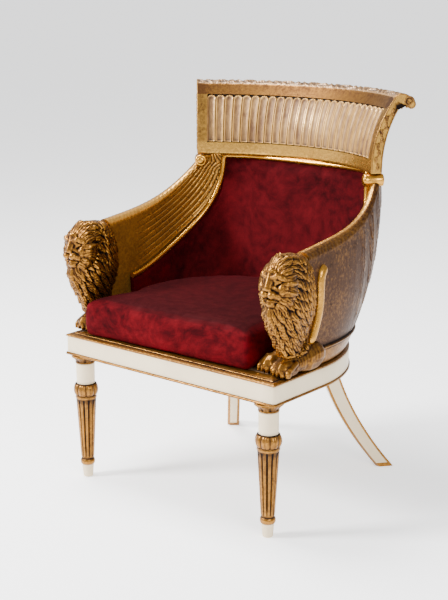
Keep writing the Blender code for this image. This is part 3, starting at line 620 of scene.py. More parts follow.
def outer_rise(station, z):
    """Height of the low leaf carving on the outer face."""
    station = np.minimum(station, 2 - station)
    run = np.broadcast_to(shell_run(station), z.shape)
    column = run / 0.036
    row = (z - SHELL_BASE) / 0.052 + 0.5 * (np.floor(column) % 2) + 0.15 * np.sin(9 * column)
    across = np.abs((column % 1) * 2 - 1)
    up = row % 1
    width = 0.08 + 0.92 * np.sqrt(np.sin(math.pi * (0.06 + 0.90 * up))) * (0.55 + 0.45 * up)
    leaf = np.clip(1 - (across / width) ** 2, 0, 1) * (0.45 + 0.55 * (1 - up))
    lobes = 0.85 + 0.15 * np.cos(2 * math.pi * (up * 5 - across * 1.5))
    leaf = leaf * lobes - 0.25 * (across < 0.09)
    return 0.0032 * np.clip(leaf, 0, 1) * np.clip((run - 0.16) / 0.08, 0, 1)


# The plain band at the shell's foot and the thin ridge above it: inset and height
PLINTH_ROWS = [(inset, SHELL_BASE + rise) for inset, rise in (
    (-0.0030, 0.0), (-0.0040, 0.003), (-0.0046, 0.015), (-0.0042, 0.029), (-0.0038, 0.0318),
    (-0.0044, 0.033), (-0.0065, 0.0345), (-0.0065, 0.0370), (-0.0040, 0.0385), (-0.0005, 0.0400))]


def shell_column(station, rows):
    """One column of a grid: (inset, height) rows set on the shell at a station."""
    insets, heights = np.array(rows).T
    return shell_point(station, heights, insets)


def gild_inside(mesh, rows, first_inner):
    """Gives the rows of the inner face the second of the piece's materials."""
    for face in mesh.polygons:
        face.material_index = 1 if face.index % rows >= first_inner else 0


def back_mesh():
    gap = FIT_GAP / 0.3 / (math.pi / 2)
    turn = 0.61
    near = np.linspace(SEAM + gap, turn, 44)
    stations = np.concatenate([near[:-1], np.linspace(turn, 2 - turn, 120), 2 - near[::-1][1:]])
    outer = np.linspace(PLINTH_ROWS[-1][1] + 0.0015, SHELL_TOP - 0.004, 130)
    inner = np.concatenate([np.linspace(SHELL_TOP - 0.004, 0.55, 90), np.linspace(0.54, SHELL_BASE, 6)])
    top = [(0.0015, SHELL_TOP - 0.001), (0.005, SHELL_TOP), (0.015, SHELL_TOP), (0.0195, SHELL_TOP - 0.001)]
    first_inner = len(PLINTH_ROWS) + len(outer) + len(top) - 1
    grid = []
    for station in stations:
        rows = PLINTH_ROWS + list(zip(-outer_rise(station, outer), outer)) + top
        rows += list(zip(BACK_THICK - inner_cut(station, inner), inner))
        grid.append(shell_column(station, rows))
    mesh = skin("curved_back", np.array(grid))
    mark_relief(mesh, 12, 0.0026)
    gild_inside(mesh, len(grid[0]), first_inner)
    return mesh


SHELL_GILDING = gilding("gilding of the shell", rub=0.06, dull=0.34, metallic=0.80)
FEATHER_GILDING = gilding("gilding of the feathers", rub=0.0, dull=-0.22, metallic=0.72,
                          bright=(0.56, 0.28, 0.045, 1), warm=(0.11, 0.040, 0.007, 1))
dress(show("curved_back", back_mesh()), "back_shell", [SHELL_GILDING, FEATHER_GILDING])

# Wings
# Each arm is a wing that rises from the lion's shoulder to a scroll under the crest,
# carved with long feathers inside and low leaves outside, and gilt all over.
TOP_TURN_STEPS = 20


def wing_mesh():
    stations = np.concatenate([np.linspace(-1, 0, 46)[:-1], np.linspace(0, SEAM, 230)])
    grid = []
    for station in stations:
        top = float(wing_top(station))
        thick = wing_thickness(station)
        turn = thick * 0.42
        shoulder = top - turn
        outer = np.linspace(PLINTH_ROWS[-1][1] + 0.0015, shoulder, 100)
        rise = outer_rise(station, outer) * np.clip((shoulder - outer) / 0.01, 0, 1)
        rows = PLINTH_ROWS + list(zip(-rise, outer))
        for step in range(1, TOP_TURN_STEPS):
            angle = math.pi * step / TOP_TURN_STEPS
            scale = (float(shell_run(station)) / 0.012 + 0.5 * (step // 5 % 2)) % 1
            cut = 0.0006 * abs(2 * scale - 1) + 0.0005 * (step % 5 == 0)
            reach = thick / 2 - (thick / 2 - cut) * math.cos(angle)
            rows.append((reach, shoulder + (turn - cut) * math.sin(angle)))
        low = min(float(velvet_edge(station)), shoulder - 0.006)
        inner = np.linspace(shoulder, low, 110)
        cut = inner_cut(station, inner) * np.clip((shoulder - inner) / 0.004, 0, 1)
        rows += list(zip(thick - cut, inner))
        rows += [(thick, low + (SHELL_BASE - low) * step / 8) for step in range(1, 9)]
        grid.append(shell_column(station, rows))
    mesh = skin("wing_right", np.array(grid))
    mark_relief(mesh, 14, 0.0032)
    gild_inside(mesh, len(grid[0]), len(PLINTH_ROWS) + len(outer) + 8)
    return mesh


def dress_arms(name, mesh, materials):
    """Shows a mesh on the right arm, and then its mirror image on the left one."""
    dress(show(name + "_right", mesh), "winged_lion_right", materials)
    copy = mesh.copy()
    copy.name = name + "_left"
    copy.transform(Matrix.Scale(-1, 4, (1, 0, 0)))
    copy.flip_normals()
    dress(show(name + "_left", copy), "winged_lion_left", [])


WING_GILDING = gilding("gilding of the wings", rub=0.05, dull=0.32, metallic=0.84)
dress_arms("wing", wing_mesh(), [WING_GILDING, FEATHER_GILDING])


SCROLL_SIDES = 48


def scroll_mesh():
    """The wing's tip, rolled outwards in a scroll under the crest."""
    outward, across = Vector((0.667, 0.745, 0)), Vector((0.745, -0.667, 0))
    middle = Vector((0.2565, LEG_LINE + 0.403, SHELL_TOP - 0.0156)) + outward * 0.012 - across * 0.003
    profile = [(-0.0250, 0.0030), (-0.0246, 0.0075), (-0.0236, 0.0082), (-0.0240, 0.0105), (-0.0225, 0.0128)]
    profile += [(-0.0190, 0.0136), (-0.0120, 0.0130), (-0.0060, 0.0124), (0.0, 0.0122), (0.0060, 0.0124)]
    profile += [(0.0120, 0.0130), (0.0190, 0.0136), (0.0225, 0.0128), (0.0240, 0.0100), (0.0246, 0.0040)]
    swell = 1.12
    grid = np.empty((len(profile), SCROLL_SIDES, 3))
    for column, (along, radius) in enumerate(profile):
        for side in range(SCROLL_SIDES):
            turn = 2 * math.pi * side / SCROLL_SIDES
            point = middle + outward * along + across * (swell * radius * math.cos(turn))
            grid[column, side] = (point.x, point.y, point.z + swell * radius * math.sin(turn))
    mesh = skin("scroll", grid)
    mark_relief(mesh, 6, 0.0015)
    return mesh


dress_arms("scroll", scroll_mesh(), [BRIGHT_GILDING])

# Lions
# Each wing grows out of a lion carved in the round: a frowning face, a thick mane of
# combed locks down to the chest, and two forepaws that lie on the corner of the rail.
LION_X = 0.295
MANE_BOTTOM = 0.405
MANE_TOP = 0.646
MANE_HEIGHT = MANE_TOP - MANE_BOTTOM
FACE_LEVEL = 0.568
FACE_AROUND = 0.036
FACE_UP = 0.040
LOCK_STEPS = 8
LOCK_STEP = 0.0046
LOCK_WIDTH = 0.0104
LOCK_REACH = 0.034
LOCK_DEEP = 0.012
RING_GAP = 0.014


class Clay:
    """Lumps gathered in one mesh before they are merged into one carved skin."""

    def __init__(self):
        bm = bmesh.new()
        bmesh.ops.create_uvsphere(bm, u_segments=10, v_segments=7, radius=1)
        bm.verts.ensure_lookup_table()
        self.ball = np.array([vertex.co[:] for vertex in bm.verts])
        self.ball_faces = [[vertex.index for vertex in face.verts] for face in bm.faces]
        bm.free()
        self.points = []
        self.faces = []
        self.count = 0

    def lump(self, centre, radii, tilt=0.0):
        """An egg shape, or a ball where one radius is given, leant sideways by a tilt in degrees."""
        turn = np.array(Matrix.Rotation(math.radians(tilt), 3, "Y"))
        self.points.append((self.ball * np.array(radii)) @ turn.T + np.array(centre))
        self.faces += [[self.count + corner for corner in face] for face in self.ball_faces]
        self.count += len(self.ball)

    def limb(self, start, end, first, last, steps=9):
        """A run of balls from one place to another, from the first radius to the last."""
        start, end = np.array(start), np.array(end)
        for step in range(steps + 1):
            share = step / steps
            self.lump(start + (end - start) * share, first + (last - first) * share)

    def carved(self, name, voxel):
        mesh = bpy.data.meshes.new(name)
        mesh.from_pydata(np.concatenate(self.points).tolist(), [], self.faces)
        lumps = show(name, mesh)
        merge = lumps.modifiers.new("Remesh", "REMESH")
        merge.mode = "VOXEL"
        merge.voxel_size = voxel
        merge.use_smooth_shade = True
        bpy.context.view_layer.update()
        merged = lumps.evaluated_get(bpy.context.evaluated_depsgraph_get())
        result = bpy.data.meshes.new_from_object(merged)
        bpy.data.objects.remove(lumps, do_unlink=True)
        result.name = name
        return result


def move_points(mesh, points):
    mesh.vertices.foreach_set("co", points.ravel())
    mesh.update()


def mane_slice(height):
    """Centre depth, half width and half depth of the mane at a share of its height."""
    foot = math.sin(math.pi * (0.10 + 0.90 * max(height, 0.0))) ** 0.5
    crown = math.sqrt(max(1 - ((height - 0.5) / 0.53) ** 2, 0.0))
    swell = foot if height < 0.5 else crown
    lower = min(height / 0.45, 1.0)
    wide = 0.044 * swell * (0.60 + 0.40 * lower)
    deep = 0.077 * swell * (0.56 + 0.44 * lower)
    return 0.050 - 0.004 * height, wide, deep


def half_girth(height):
    wide, deep = mane_slice(height)[1:]
    return math.pi * math.sqrt((wide**2 + deep**2) / 2)


def mane_point(height, around):
    centre, wide, deep = mane_slice(height)
    turn = math.pi * around
    z = MANE_BOTTOM + MANE_HEIGHT * height
    return np.array([wide * math.sin(turn), centre - deep * math.cos(turn), z])


def lock_path(along, z, side, sway):
    """A lock's path over the mane: away from the face at first, then down."""
    path = []
    for step in range(LOCK_STEPS + 1):
        height = min(max((z - MANE_BOTTOM) / MANE_HEIGHT, 0.02), 0.985)
        point = mane_point(height, min(along / half_girth(height), 1.0))
        point[0] *= side
        path.append(point)
        out = np.array([along, z - FACE_LEVEL + 0.004])
        far = np.linalg.norm(out)
        pull = math.exp(-max(far - 0.045, 0.0) / 0.050)
        way = out / max(far, 1e-6) * pull + np.array([0.10, -1.0]) * (1 - pull) * 1.1
        way = way / np.linalg.norm(way)
        bend = sway * math.sin(2.6 * math.pi * step / LOCK_STEPS)
        way = np.array([way[0] + bend * way[1], way[1] - bend * way[0]])
        along = max(along + way[0] * LOCK_STEP, 0.001)
        z += way[1] * LOCK_STEP
    return np.array(path)


def mane_locks():
    """Start places of the locks: rings round the face first, then rows to the chest."""
    chance = np.random.default_rng(11)
    locks = []
    for ring in range(2):
        count = 12 + 2 * ring
        for step in range(count):
            angle = math.pi * (step + 0.5 * ring) / (count - 1) - math.pi / 2
            along = (FACE_AROUND + RING_GAP * ring) * math.cos(angle)
            z = FACE_LEVEL + 0.002 + (FACE_UP + RING_GAP * ring) * math.sin(angle)
            locks.append((max(along, 0.002), z))
    level = 0.985
    while level > 0.10:
        z = MANE_BOTTOM + MANE_HEIGHT * level
        girth = half_girth(level)
        count = max(int(girth / 0.0175), 2)
        shift = chance.random() * 0.5
        for step in range(count):
            along = girth * (step + 0.25 + shift) / count
            beside, above = along / (FACE_AROUND + RING_GAP), (z - FACE_LEVEL) / (FACE_UP + 0.012)
            if beside**2 + above**2 >= 1 and along < girth:
                locks.append((along, z + 0.006 * (chance.random() - 0.5)))
        level -= 0.080
    return locks, chance


def comb_mane(points, normals):
    """Raises the mane's locks on the smooth form. Each has three strands and its tip lies
    over the root of the next."""
    rise = np.zeros(len(points))
    locks, chance = mane_locks()
    for start_along, start_z in locks:
        for side in (-1, 1):
            path = lock_path(start_along, start_z, side, 0.75 * (chance.random() - 0.35))
            middle = path.mean(axis=0)
            near = np.nonzero(np.sum((points - middle) ** 2, axis=1) < LOCK_REACH**2)[0]
            if not len(near):
                continue
            spot = points[near]
            starts, spans = path[:-1], np.diff(path, axis=0)
            to_spot = spot[:, None, :] - starts[None]
            lengths = np.sum(spans * spans, axis=-1) + 1e-12
            share = np.clip(np.sum(to_spot * spans, axis=-1) / lengths, 0, 1)
            away = to_spot - share[..., None] * spans
            gaps = np.sum(away * away, axis=-1)
            pick = gaps.argmin(axis=1)
            rows = np.arange(len(near))
            along = (pick + share[rows, pick]) / len(spans)
            across = np.cross(spans[pick], normals[near])
            across /= np.maximum(np.linalg.norm(across, axis=1), 1e-9)[:, None]
            off = np.sum(away[rows, pick] * across, axis=1)
            beyond = np.abs(np.sum(away[rows, pick] * normals[near], axis=1)) > LOCK_DEEP
            width = LOCK_WIDTH * np.sin(math.pi * np.clip(0.22 + 0.78 * along, 0, 1)) ** 0.9 + 1e-5
            place = off / width
            inside = (np.abs(place) < 1) & ~beyond
            height = 0.0014 + 0.0082 * along + 0.0016 * chance.random()
            strands = 0.86 + 0.14 * np.cos(3 * math.pi * (place + 0.2 * np.sin(5 * along)))
            lock = height * np.clip(1 - place**2, 0, 1) ** 0.65 * strands
            rise[near[inside]] = np.maximum(rise[near[inside]], lock[inside])
    return rise


def mane_share(points):
    """1 where the surface belongs to the mane, 0 on the face, paws, roll and wing."""
    height = np.clip((points[:, 2] - MANE_BOTTOM) / MANE_HEIGHT, 0.0, 0.99)
    slices = np.array([mane_slice(share) for share in np.linspace(0, 0.99, 200)])
    centre, wide, deep = (np.interp(height, np.linspace(0, 0.99, 200), slices[:, k]) for k in range(3))
    around = np.arctan2(np.abs(points[:, 0]) / wide, (centre - points[:, 1]) / deep) / math.pi
    along = around * math.pi * np.sqrt((wide**2 + deep**2) / 2)
    face = np.sqrt((along / FACE_AROUND) ** 2 + ((points[:, 2] - FACE_LEVEL) / FACE_UP) ** 2)
    share = np.clip((face - 0.94) / 0.12, 0, 1)
    share *= np.clip((points[:, 2] - MANE_BOTTOM + 0.004) / 0.012, 0, 1)
    far = np.sqrt((points[:, 0] / wide) ** 2 + ((points[:, 1] - centre) / deep) ** 2)
    return share * np.clip((1.9 - far) / 0.3, 0, 1)


def add_mane(clay):
    """The mane's form under its locks, with a hood of hair that frames the face."""
    for level in range(31):
        height = 0.02 + 0.85 * level / 30
        centre, wide, deep = mane_slice(height)
        z = MANE_BOTTOM + MANE_HEIGHT * height
        clay.lump((0, centre, z), (wide - 0.003, deep - 0.005, 0.016))
    for step in range(25):
        angle = math.radians(-148 + 296 * step / 24)
        x, y = 0.0285 * math.sin(angle), 0.008 + 0.004 * math.cos(angle)
        clay.lump((x, y, FACE_LEVEL + 0.041 * math.cos(angle)), (0.0125, 0.020, 0.0125))


def add_face(clay):
    """A frowning lion: broad bridge of the nose, deep eyes, full lips, small chin."""
    clay.lump((0, 0.018, 0.592), (0.032, 0.038, 0.027))
    clay.lump((0, 0.008, 0.572), (0.031, 0.032, 0.034))
    clay.limb((0, -0.0155, 0.604), (0, -0.0300, 0.5745), 0.0085, 0.0066)
    clay.lump((0, -0.0322, 0.5712), (0.0085, 0.0042, 0.0048))
    for side in (-1, 1):
        clay.limb((side * 0.0045, -0.0140, 0.603), (side * 0.0048, -0.0275, 0.5745), 0.0078, 0.0058)
        clay.lump((side * 0.0066, -0.0310, 0.5705), (0.0050, 0.0044, 0.0042))
        clay.lump((side * 0.0098, -0.0255, 0.5590), (0.0112, 0.0110, 0.0096), side * -14)
        clay.lump((side * 0.0170, -0.0160, 0.5560), (0.0095, 0.0125, 0.0090), side * -20)
        clay.lump((side * 0.0150, -0.0095, 0.5860), (0.0100, 0.0080, 0.0100))
        clay.limb((side * 0.0065, -0.0215, 0.5940), (side * 0.0165, -0.0200, 0.5985), 0.0054, 0.0058)
        clay.limb((side * 0.0165, -0.0200, 0.5985), (side * 0.0275, -0.0080, 0.5925), 0.0058, 0.0044)
        clay.lump((side * 0.0150, -0.0172, 0.5858), (0.0056, 0.0050, 0.0050))
        clay.limb((side * 0.0080, -0.0205, 0.5860), (side * 0.0150, -0.0228, 0.5900), 0.0017, 0.0019)
        clay.limb((side * 0.0150, -0.0228, 0.5900), (side * 0.0225, -0.0160, 0.5862), 0.0019, 0.0016)
        clay.limb((side * 0.0080, -0.0200, 0.5845), (side * 0.0150, -0.0212, 0.5812), 0.0015, 0.0017)
        clay.limb((side * 0.0150, -0.0212, 0.5812), (side * 0.0225, -0.0155, 0.5848), 0.0017, 0.0015)
        clay.lump((side * 0.0235, -0.0040, 0.5680), (0.0110, 0.0165, 0.0160))
        clay.limb((side * 0.0115, -0.0225, 0.5745), (side * 0.0235, -0.0120, 0.5650), 0.0046, 0.0060)
        clay.limb((0, -0.0245, 0.5448), (side * 0.0160, -0.0125, 0.5432), 0.0034, 0.0030)
    clay.lump((0, -0.0160, 0.5365), (0.0125, 0.0125, 0.0085))


def add_paw(clay, offset, front, arm):
    """One forepaw with four curled toes, claws and the hair that hangs over it."""
    base = SHELL_BASE
    clay.lump((offset, front + 0.036, base + 0.017), (0.0230, 0.036, 0.0215))
    for toe in range(4):
        x = offset + 0.0122 * (toe - 1.5)
        tip = front + (0.0032 if toe in (0, 3) else 0.0)
        clay.limb((x, front + 0.040, base + 0.028), (x, tip + 0.014, base + 0.017), 0.0062, 0.0068, 6)
        clay.lump((x, tip + 0.010, base + 0.0100), (0.0060, 0.0095, 0.0102))
        clay.limb((x, tip + 0.0045, base + 0.010), (x, tip + 0.0015, base + 0.003), 0.0025, 0.0015, 4)
    elbow = (offset * 0.5 + arm, front + 0.118, base + 0.033)
    clay.limb((offset, front + 0.040, base + 0.019), elbow, 0.020, 0.027)
    for tuft in range(7):
        share = tuft / 6 - 0.5
        start = (offset + 0.030 * share, front + 0.070, base + 0.040 - 0.022 * abs(share))
        end = (offset + 0.042 * share, front + 0.040, base + 0.036 - 0.036 * abs(share))
        clay.limb(start, end, 0.0040, 0.0020)


def lion_mesh():
    clay = Clay()
    add_mane(clay)
    add_face(clay)
    add_paw(clay, 0.006, 0.004, 0.010)
    add_paw(clay, -0.042, 0.014, 0.0)
    clay.lump((0.004, 0.108, SHELL_BASE + 0.026), (0.033, 0.060, 0.034))
    mesh = clay.carved("lion_right", 0.0015)
    points = rubbed_points(mesh, 3, 0.5)
    move_points(mesh, points)
    normals = mesh_vectors(mesh, "normal")
    rise = comb_mane(points, normals) * mane_share(points)
    move_points(mesh, points + normals * rise[:, None])
    mesh.transform(Matrix.Translation((LION_X, LEG_LINE, 0)))
    bm = bmesh.new()
    bm.from_mesh(mesh)
    parts = bm.verts[:] + bm.edges[:] + bm.faces[:]
    floor = (0, 0, SHELL_BASE)
    bmesh.ops.bisect_plane(bm, geom=parts, plane_co=floor, plane_no=(0, 0, -1), clear_outer=True)
    bm.to_mesh(mesh)
    bm.free()
    mesh.shade_smooth()
    mark_relief(mesh, 15, 0.0017)
    return mesh


LION_GILDING = gilding("gilding of the lions", rub=0.0, dull=0.12, metallic=0.90)
dress_arms("lion", lion_mesh(), [LION_GILDING])


ROD_SIDES = 14
ROLL_STEPS = 90


def rod(path, radii):
    """A round rod along a path, as a grid for skin."""
    along = np.gradient(path, axis=0)
    along /= np.linalg.norm(along, axis=1)[:, None]
    first = np.cross(along, np.array([0.31, 0.47, 0.83]))
    first /= np.linalg.norm(first, axis=1)[:, None]
    second = np.cross(along, first)
    turns = 2 * math.pi * np.arange(ROD_SIDES)[None, :, None] / ROD_SIDES
    ring = first[:, None] * np.cos(turns) + second[:, None] * np.sin(turns)
    return path[:, None] + ring * radii[:, None, None]


def along_knots(knots, count):
    """A number of evenly spaced steps along straight runs between knots."""
    steps = np.linspace(0, len(knots) - 1, count)
    return np.stack([np.interp(steps, range(len(knots)), knots[:, k]) for k in (0, 1)], axis=1)


def roll_mesh():
    """The smooth burnished roll where the wing's front edge turns out behind the mane."""
    knots = np.array([(0.104, 0.424), (0.110, 0.440), (0.118, 0.462), (0.126, 0.485), (0.131, 0.512),
                      (0.132, 0.544), (0.132, 0.562), (0.136, 0.576), (0.144, 0.586), (0.152, 0.590)])
    path = along_knots(knots, ROLL_STEPS)
    for _ in range(14):
        path[1:-1] = (path[:-2] + 2 * path[1:-1] + path[2:]) / 4
    share = np.linspace(0, 1, ROLL_STEPS)
    thick = 0.0104 + 0.0030 * share
    thick *= np.sqrt(np.clip(1 - ((share - 0.5) * 2) ** 10, 0.0, 1)) + 0.02
    x = WING_HALF + 0.0060 + 0.003 * np.sin(math.pi * share)
    path = np.stack([x, LEG_LINE + path[:, 0], path[:, 1]], axis=1)
    return skin("burnished_roll_right", rod(path, thick))


SHOULDER_GILDING = gilding("gilding of the shoulder roll", rub=-0.05, dull=-0.12, metallic=0.92,
                           bright=(0.46, 0.22, 0.030, 1))
dress_arms("burnished_roll", roll_mesh(), [SHOULDER_GILDING])

# Crest
# A curved tablet that flares back and rolls over. Its sunk field has twenty-five
# upright flutes with round heads, in gold worn to a pale cream, in a plain gilt frame.
CREST_BASE, CREST_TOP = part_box("crest")[0][2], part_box("crest")[1][2]
CREST_CENTRE = LEG_LINE + 0.097
CREST_RADIUS = 0.403
CREST_HALF = 40.7
FIELD_HALF = 37.4
FLUTES = 25
CREAM = (0.72, 0.42, 0.125, 1)
CREAM_SHADE = (0.14, 0.055, 0.012, 1)


def crest_lean(z):
    share = max((z - CREST_BASE) / (CREST_TOP - CREST_BASE - 0.012), 0.0)
    return 0.052 * share**2.3


def flute_depth(angle, z, low, high):
    """Depth of the carved field below the frame at a place."""
    if abs(angle) >= FIELD_HALF or not low < z < high:
        return 0.0
    pitch = 2 * FIELD_HALF / FLUTES
    place = ((angle + FIELD_HALF) / pitch) % 1
    off = abs(2 * place - 1)
    width = math.radians(pitch) * CREST_RADIUS / 2
    from_top = (high - 0.0012 - z) / width
    from_foot = (z - low - 0.0006) / width
    if from_top < 1:
        off = max(off, math.hypot(off, 1 - max(from_top, 0.0)))
    if from_foot < 0.25:
        off = max(off, 1 - from_foot)
    if off > FRAME_EDGE:
        return 0.0072
    if off > FLUTE_EDGE:
        return 0.0022
    return 0.0022 + 0.0036 * math.sqrt(max(0.0, 1 - (off / FLUTE_EDGE) ** 2))


TOP_STEPS_ROUND = 44
FRAME_EDGE = 0.97
FLUTE_EDGE = 0.74


def rolled_top(angle, top):
    """The crest's top: a roll carved with ragged leaves, from its front edge over to the back."""
    knots = np.array([(0.0515, 0.012), (0.0540, 0.008), (0.0590, 0.005), (0.0660, 0.002), (0.0740, 0.0022),
                      (0.0820, 0.0050), (0.0900, 0.0100), (0.0965, 0.0160), (0.1005, 0.0215),
                      (0.1015, 0.0270), (0.0990, 0.0320), (0.0945, 0.0345), (0.0900, 0.0345),
                      (0.0860, 0.0320), (0.0800, 0.0318)])
    line = along_knots(knots, TOP_STEPS_ROUND)
    share = np.linspace(0, 1, TOP_STEPS_ROUND)
    inside = np.clip((CREST_HALF - abs(angle)) / 1.0, 0, 1) * np.clip(share / 0.12, 0, 1)
    leaf = np.sin(2 * math.pi * (angle / 3.1 + 0.35 * np.sin(2 * math.pi * (share * 2.5 + angle / 11.0))))
    vein = np.sin(2 * math.pi * (angle / 0.9 + share * 4.0))
    cut = inside * (0.0036 * (0.5 - 0.5 * leaf) ** 0.7 + 0.0009 * (0.5 - 0.5 * vein))
    inward = np.array([0.076, 0.024]) - line
    inward /= np.linalg.norm(inward, axis=1)[:, None]
    return [(reach, top - drop) for reach, drop in line + inward * cut[:, None]]


def crest_place(angle, reach, z):
    radius = CREST_RADIUS + reach
    turn = math.radians(angle)
    return (radius * math.sin(turn), CREST_CENTRE + radius * math.cos(turn), z)


FIELD_ROWS = 76
FLUTE_INDEX, ROLL_INDEX, SHADED_TOP_BAR_INDEX = 1, 2, 3


def crest_mesh():
    top = CREST_TOP
    front_top = top - 0.012
    low = CREST_BASE + 0.030
    high = front_top - 0.026
    front = [CREST_BASE + 0.0006, CREST_BASE + 0.006, low - 0.002, low - 0.0004]
    front += list(np.linspace(low + 0.0002, high - 0.0002, FIELD_ROWS))
    front += [high + 0.0004, high + 0.002, front_top - 0.004]
    field = np.linspace(-FIELD_HALF, FIELD_HALF, FLUTES * 16 + 1)
    margin = [CREST_HALF, CREST_HALF - 0.15] + list(np.linspace(CREST_HALF - 0.4, FIELD_HALF + 0.3, 12))
    margin += [FIELD_HALF + 0.02]
    angles = [-angle for angle in margin] + list(field) + margin[::-1]
    grid = []
    for angle in angles:
        rows = [(0.0006, CREST_BASE)]
        rows += [(crest_lean(z) + flute_depth(angle, z, low, high), z) for z in front]
        rows += rolled_top(angle, top)
        rows += [(crest_lean(z) + 0.027, z) for z in np.linspace(top - 0.040, CREST_BASE + 0.002, 14)]
        rows.append((0.0262, CREST_BASE))
        grid.append([crest_place(angle, reach, z) for reach, z in rows])
    mesh = skin("fluted_crest", np.array(grid))
    mark_relief(mesh, 26, 0.0034)
    rows, edge = len(grid[0]), len(margin)
    first_field, last_field = 5, 5 + FIELD_ROWS
    first_roll = last_field + 3
    for face in mesh.polygons:
        column, row = divmod(face.vertices[0], rows)
        if len(face.vertices) != 4:
            continue
        if first_roll <= row <= last_field + TOP_STEPS_ROUND:
            face.material_index = ROLL_INDEX
        # The frame's top bar under the roll takes the darker copy of the gilding, as painted shade.
        elif last_field <= row < first_roll:
            face.material_index = SHADED_TOP_BAR_INDEX
        elif first_field <= row < last_field and edge <= column < len(angles) - edge - 1:
            face.material_index = FLUTE_INDEX
    return mesh


FRAME_GILDING = gilding("gilding of the crest", rub=-0.03, dull=0.0, metallic=0.88,
                        bright=(0.50, 0.27, 0.050, 1))
# A darker copy of the crest's gilding: painted shade on the top bar under the roll.
SHADED_TOP_BAR_GILDING = gilding("gilding of the crest's top bar, darkened as painted shade", rub=0.0, dull=0.46, metallic=0.90,
                         bright=(0.27, 0.122, 0.021, 1), warm=(0.060, 0.023, 0.005, 1))
FLUTE_GILDING = gilding("worn cream gilding", rub=-0.06, dull=0.10, metallic=0.30,
                        bright=CREAM, warm=CREAM_SHADE, streak=0.8)
ROLL_GILDING = gilding("chipped gilding of the roll", rub=0.10, dull=0.02, metallic=0.3,
                       bright=(0.32, 0.175, 0.066, 1), warm=(0.035, 0.013, 0.004, 1))
END_GILDING = gilding("gilding of the crest's ends", rub=0.02, dull=0.16, metallic=0.8,
                      bright=(0.40, 0.20, 0.040, 1))
piece = show("fluted_crest", crest_mesh())
dress(piece, "crest", [FRAME_GILDING, FLUTE_GILDING, ROLL_GILDING, SHADED_TOP_BAR_GILDING])


def end_carving(side):
    """The carved end of the crest: a raised border, a small volute and a leafy stem."""
    angle = side * (CREST_HALF - 0.05)
    clay = Clay()
    up = np.linspace(CREST_BASE + 0.003, CREST_TOP - 0.014, 60)
    down = np.linspace(CREST_TOP - 0.040, CREST_BASE + 0.003, 60)
    border = [(crest_lean(z) + 0.0022, z) for z in up]
    border += [(reach, z - 0.0022) for reach, z in rolled_top(60.0, CREST_TOP)]
    border += [(crest_lean(z) + 0.0248, z) for z in down]
    for near, far in zip(border, border[1:]):
        for share in (0.0, 0.5):
            reach, z = (near[k] + (far[k] - near[k]) * share for k in (0, 1))
            clay.lump(crest_place(angle, reach, z), 0.0021)
    for step in range(60):
        share = step / 59
        spin = 3.6 * math.pi * share
        radius = 0.0105 * (1 - share) + 0.0020
        reach, z = 0.0860 + radius * math.cos(spin), CREST_TOP - 0.0215 + radius * math.sin(spin)
        clay.lump(crest_place(angle, reach, z), 0.0023)
    foot, run, stem_in = CREST_BASE + 0.008, CREST_TOP - CREST_BASE - 0.045, 0.0135
    for step in range(90):
        share = step / 89
        z = foot + run * share
        swing = 0.0050 * math.sin(2 * math.pi * 4.5 * share)
        clay.lump(crest_place(angle, crest_lean(z) + stem_in + swing, z), 0.0022)
    for leaf in range(9):
        z = foot + run * (leaf + 0.5) / 9
        way = 1 if leaf % 2 else -1
        for lobe in (-1, 0, 1):
            reach = crest_lean(z) + stem_in - way * (0.0018 + 0.0012 * abs(lobe))
            clay.lump(crest_place(angle, reach, z + 0.0042 * lobe), (0.0036, 0.0036, 0.0040))
    mesh = clay.carved("end_carving", 0.0011)
    mark_relief(mesh, 8, 0.0012)
    return mesh


for side, sign in (("left", -1), ("right", 1)):
    piece = show("crest_end_carving_" + side, end_carving(sign))
    dress(piece, "crest", [END_GILDING])

# Velvet lining
# Crimson silk velvet stretched over a thin stuffing inside the back and the wings. It is
# old, so its pile lies this way and that, and it catches the light in patches.
VELVET_RED = (0.138, 0.0004, 0.0040, 1)
VELVET_DEEP = (0.0105, 0.0001, 0.0007, 1)
LINING_OFF = 0.0035
LINING_THICK = 0.010
BEAD_RADIUS = 0.0066


def crushed_velvet_group():
    inputs = {"Pile": "Color", "Deep": "Color", "Crush": "Float", "Top shade": "Float"}
    group, given, out = finish_group("crushed velvet", inputs)
    place = object_place(group)
    warp = add_node(group, "TexNoise", {"Vector": place, "Scale": 5.0, "Detail": 3.0})
    bent = {0: 0.12, 4: place, 5: warp.outputs["Color"]}
    bent = add_node(group, "Mix", bent, data_type="VECTOR").outputs[1]
    patches = ramp_between(group, cloud(group, bent, 8.0, 6.0, 0.58), 0.32, 0.72)
    streaks = ramp_between(group, cloud(group, bent, 46.0, 4.0), 0.35, 0.7)
    pile = arithmetic(group, "MULTIPLY", arithmetic(group, "ADD", patches, streaks), 0.5)
    lain = arithmetic(group, "MULTIPLY", pile, given["Crush"])
    # Painted shade: faces that look upwards are made a deeper red, so the cushion's top is darker than its
    # sides.
    facing = add_node(group, "NewGeometry").outputs["Normal"]
    upward = add_node(group, "SeparateXYZ", {"Vector": facing}).outputs["Z"]
    painted_top_shade = arithmetic(group, "MULTIPLY", ramp_between(group, upward, 0.45, 0.92), given["Top shade"])
    painted_top_shade = arithmetic(group, "MULTIPLY", painted_top_shade, ramp_between(group, pile, 0.0, 1.0, 1.0, 0.86))
    deep = arithmetic(group, "MAXIMUM", arithmetic(group, "SUBTRACT", 1.0, lain), painted_top_shade)
    colour = blend_colours(group, deep, given["Pile"], given["Deep"])
    group.links.new(colour, out["Color"])
    group.links.new(ramp_between(group, pile, 0.0, 1.0, 0.95, 0.62), out["Rough"])
    fine = arithmetic(group, "MULTIPLY", cloud(group, place, 900.0, 2.0), 0.25)
    group.links.new(arithmetic(group, "ADD", patches, fine), out["Height"])
    return group


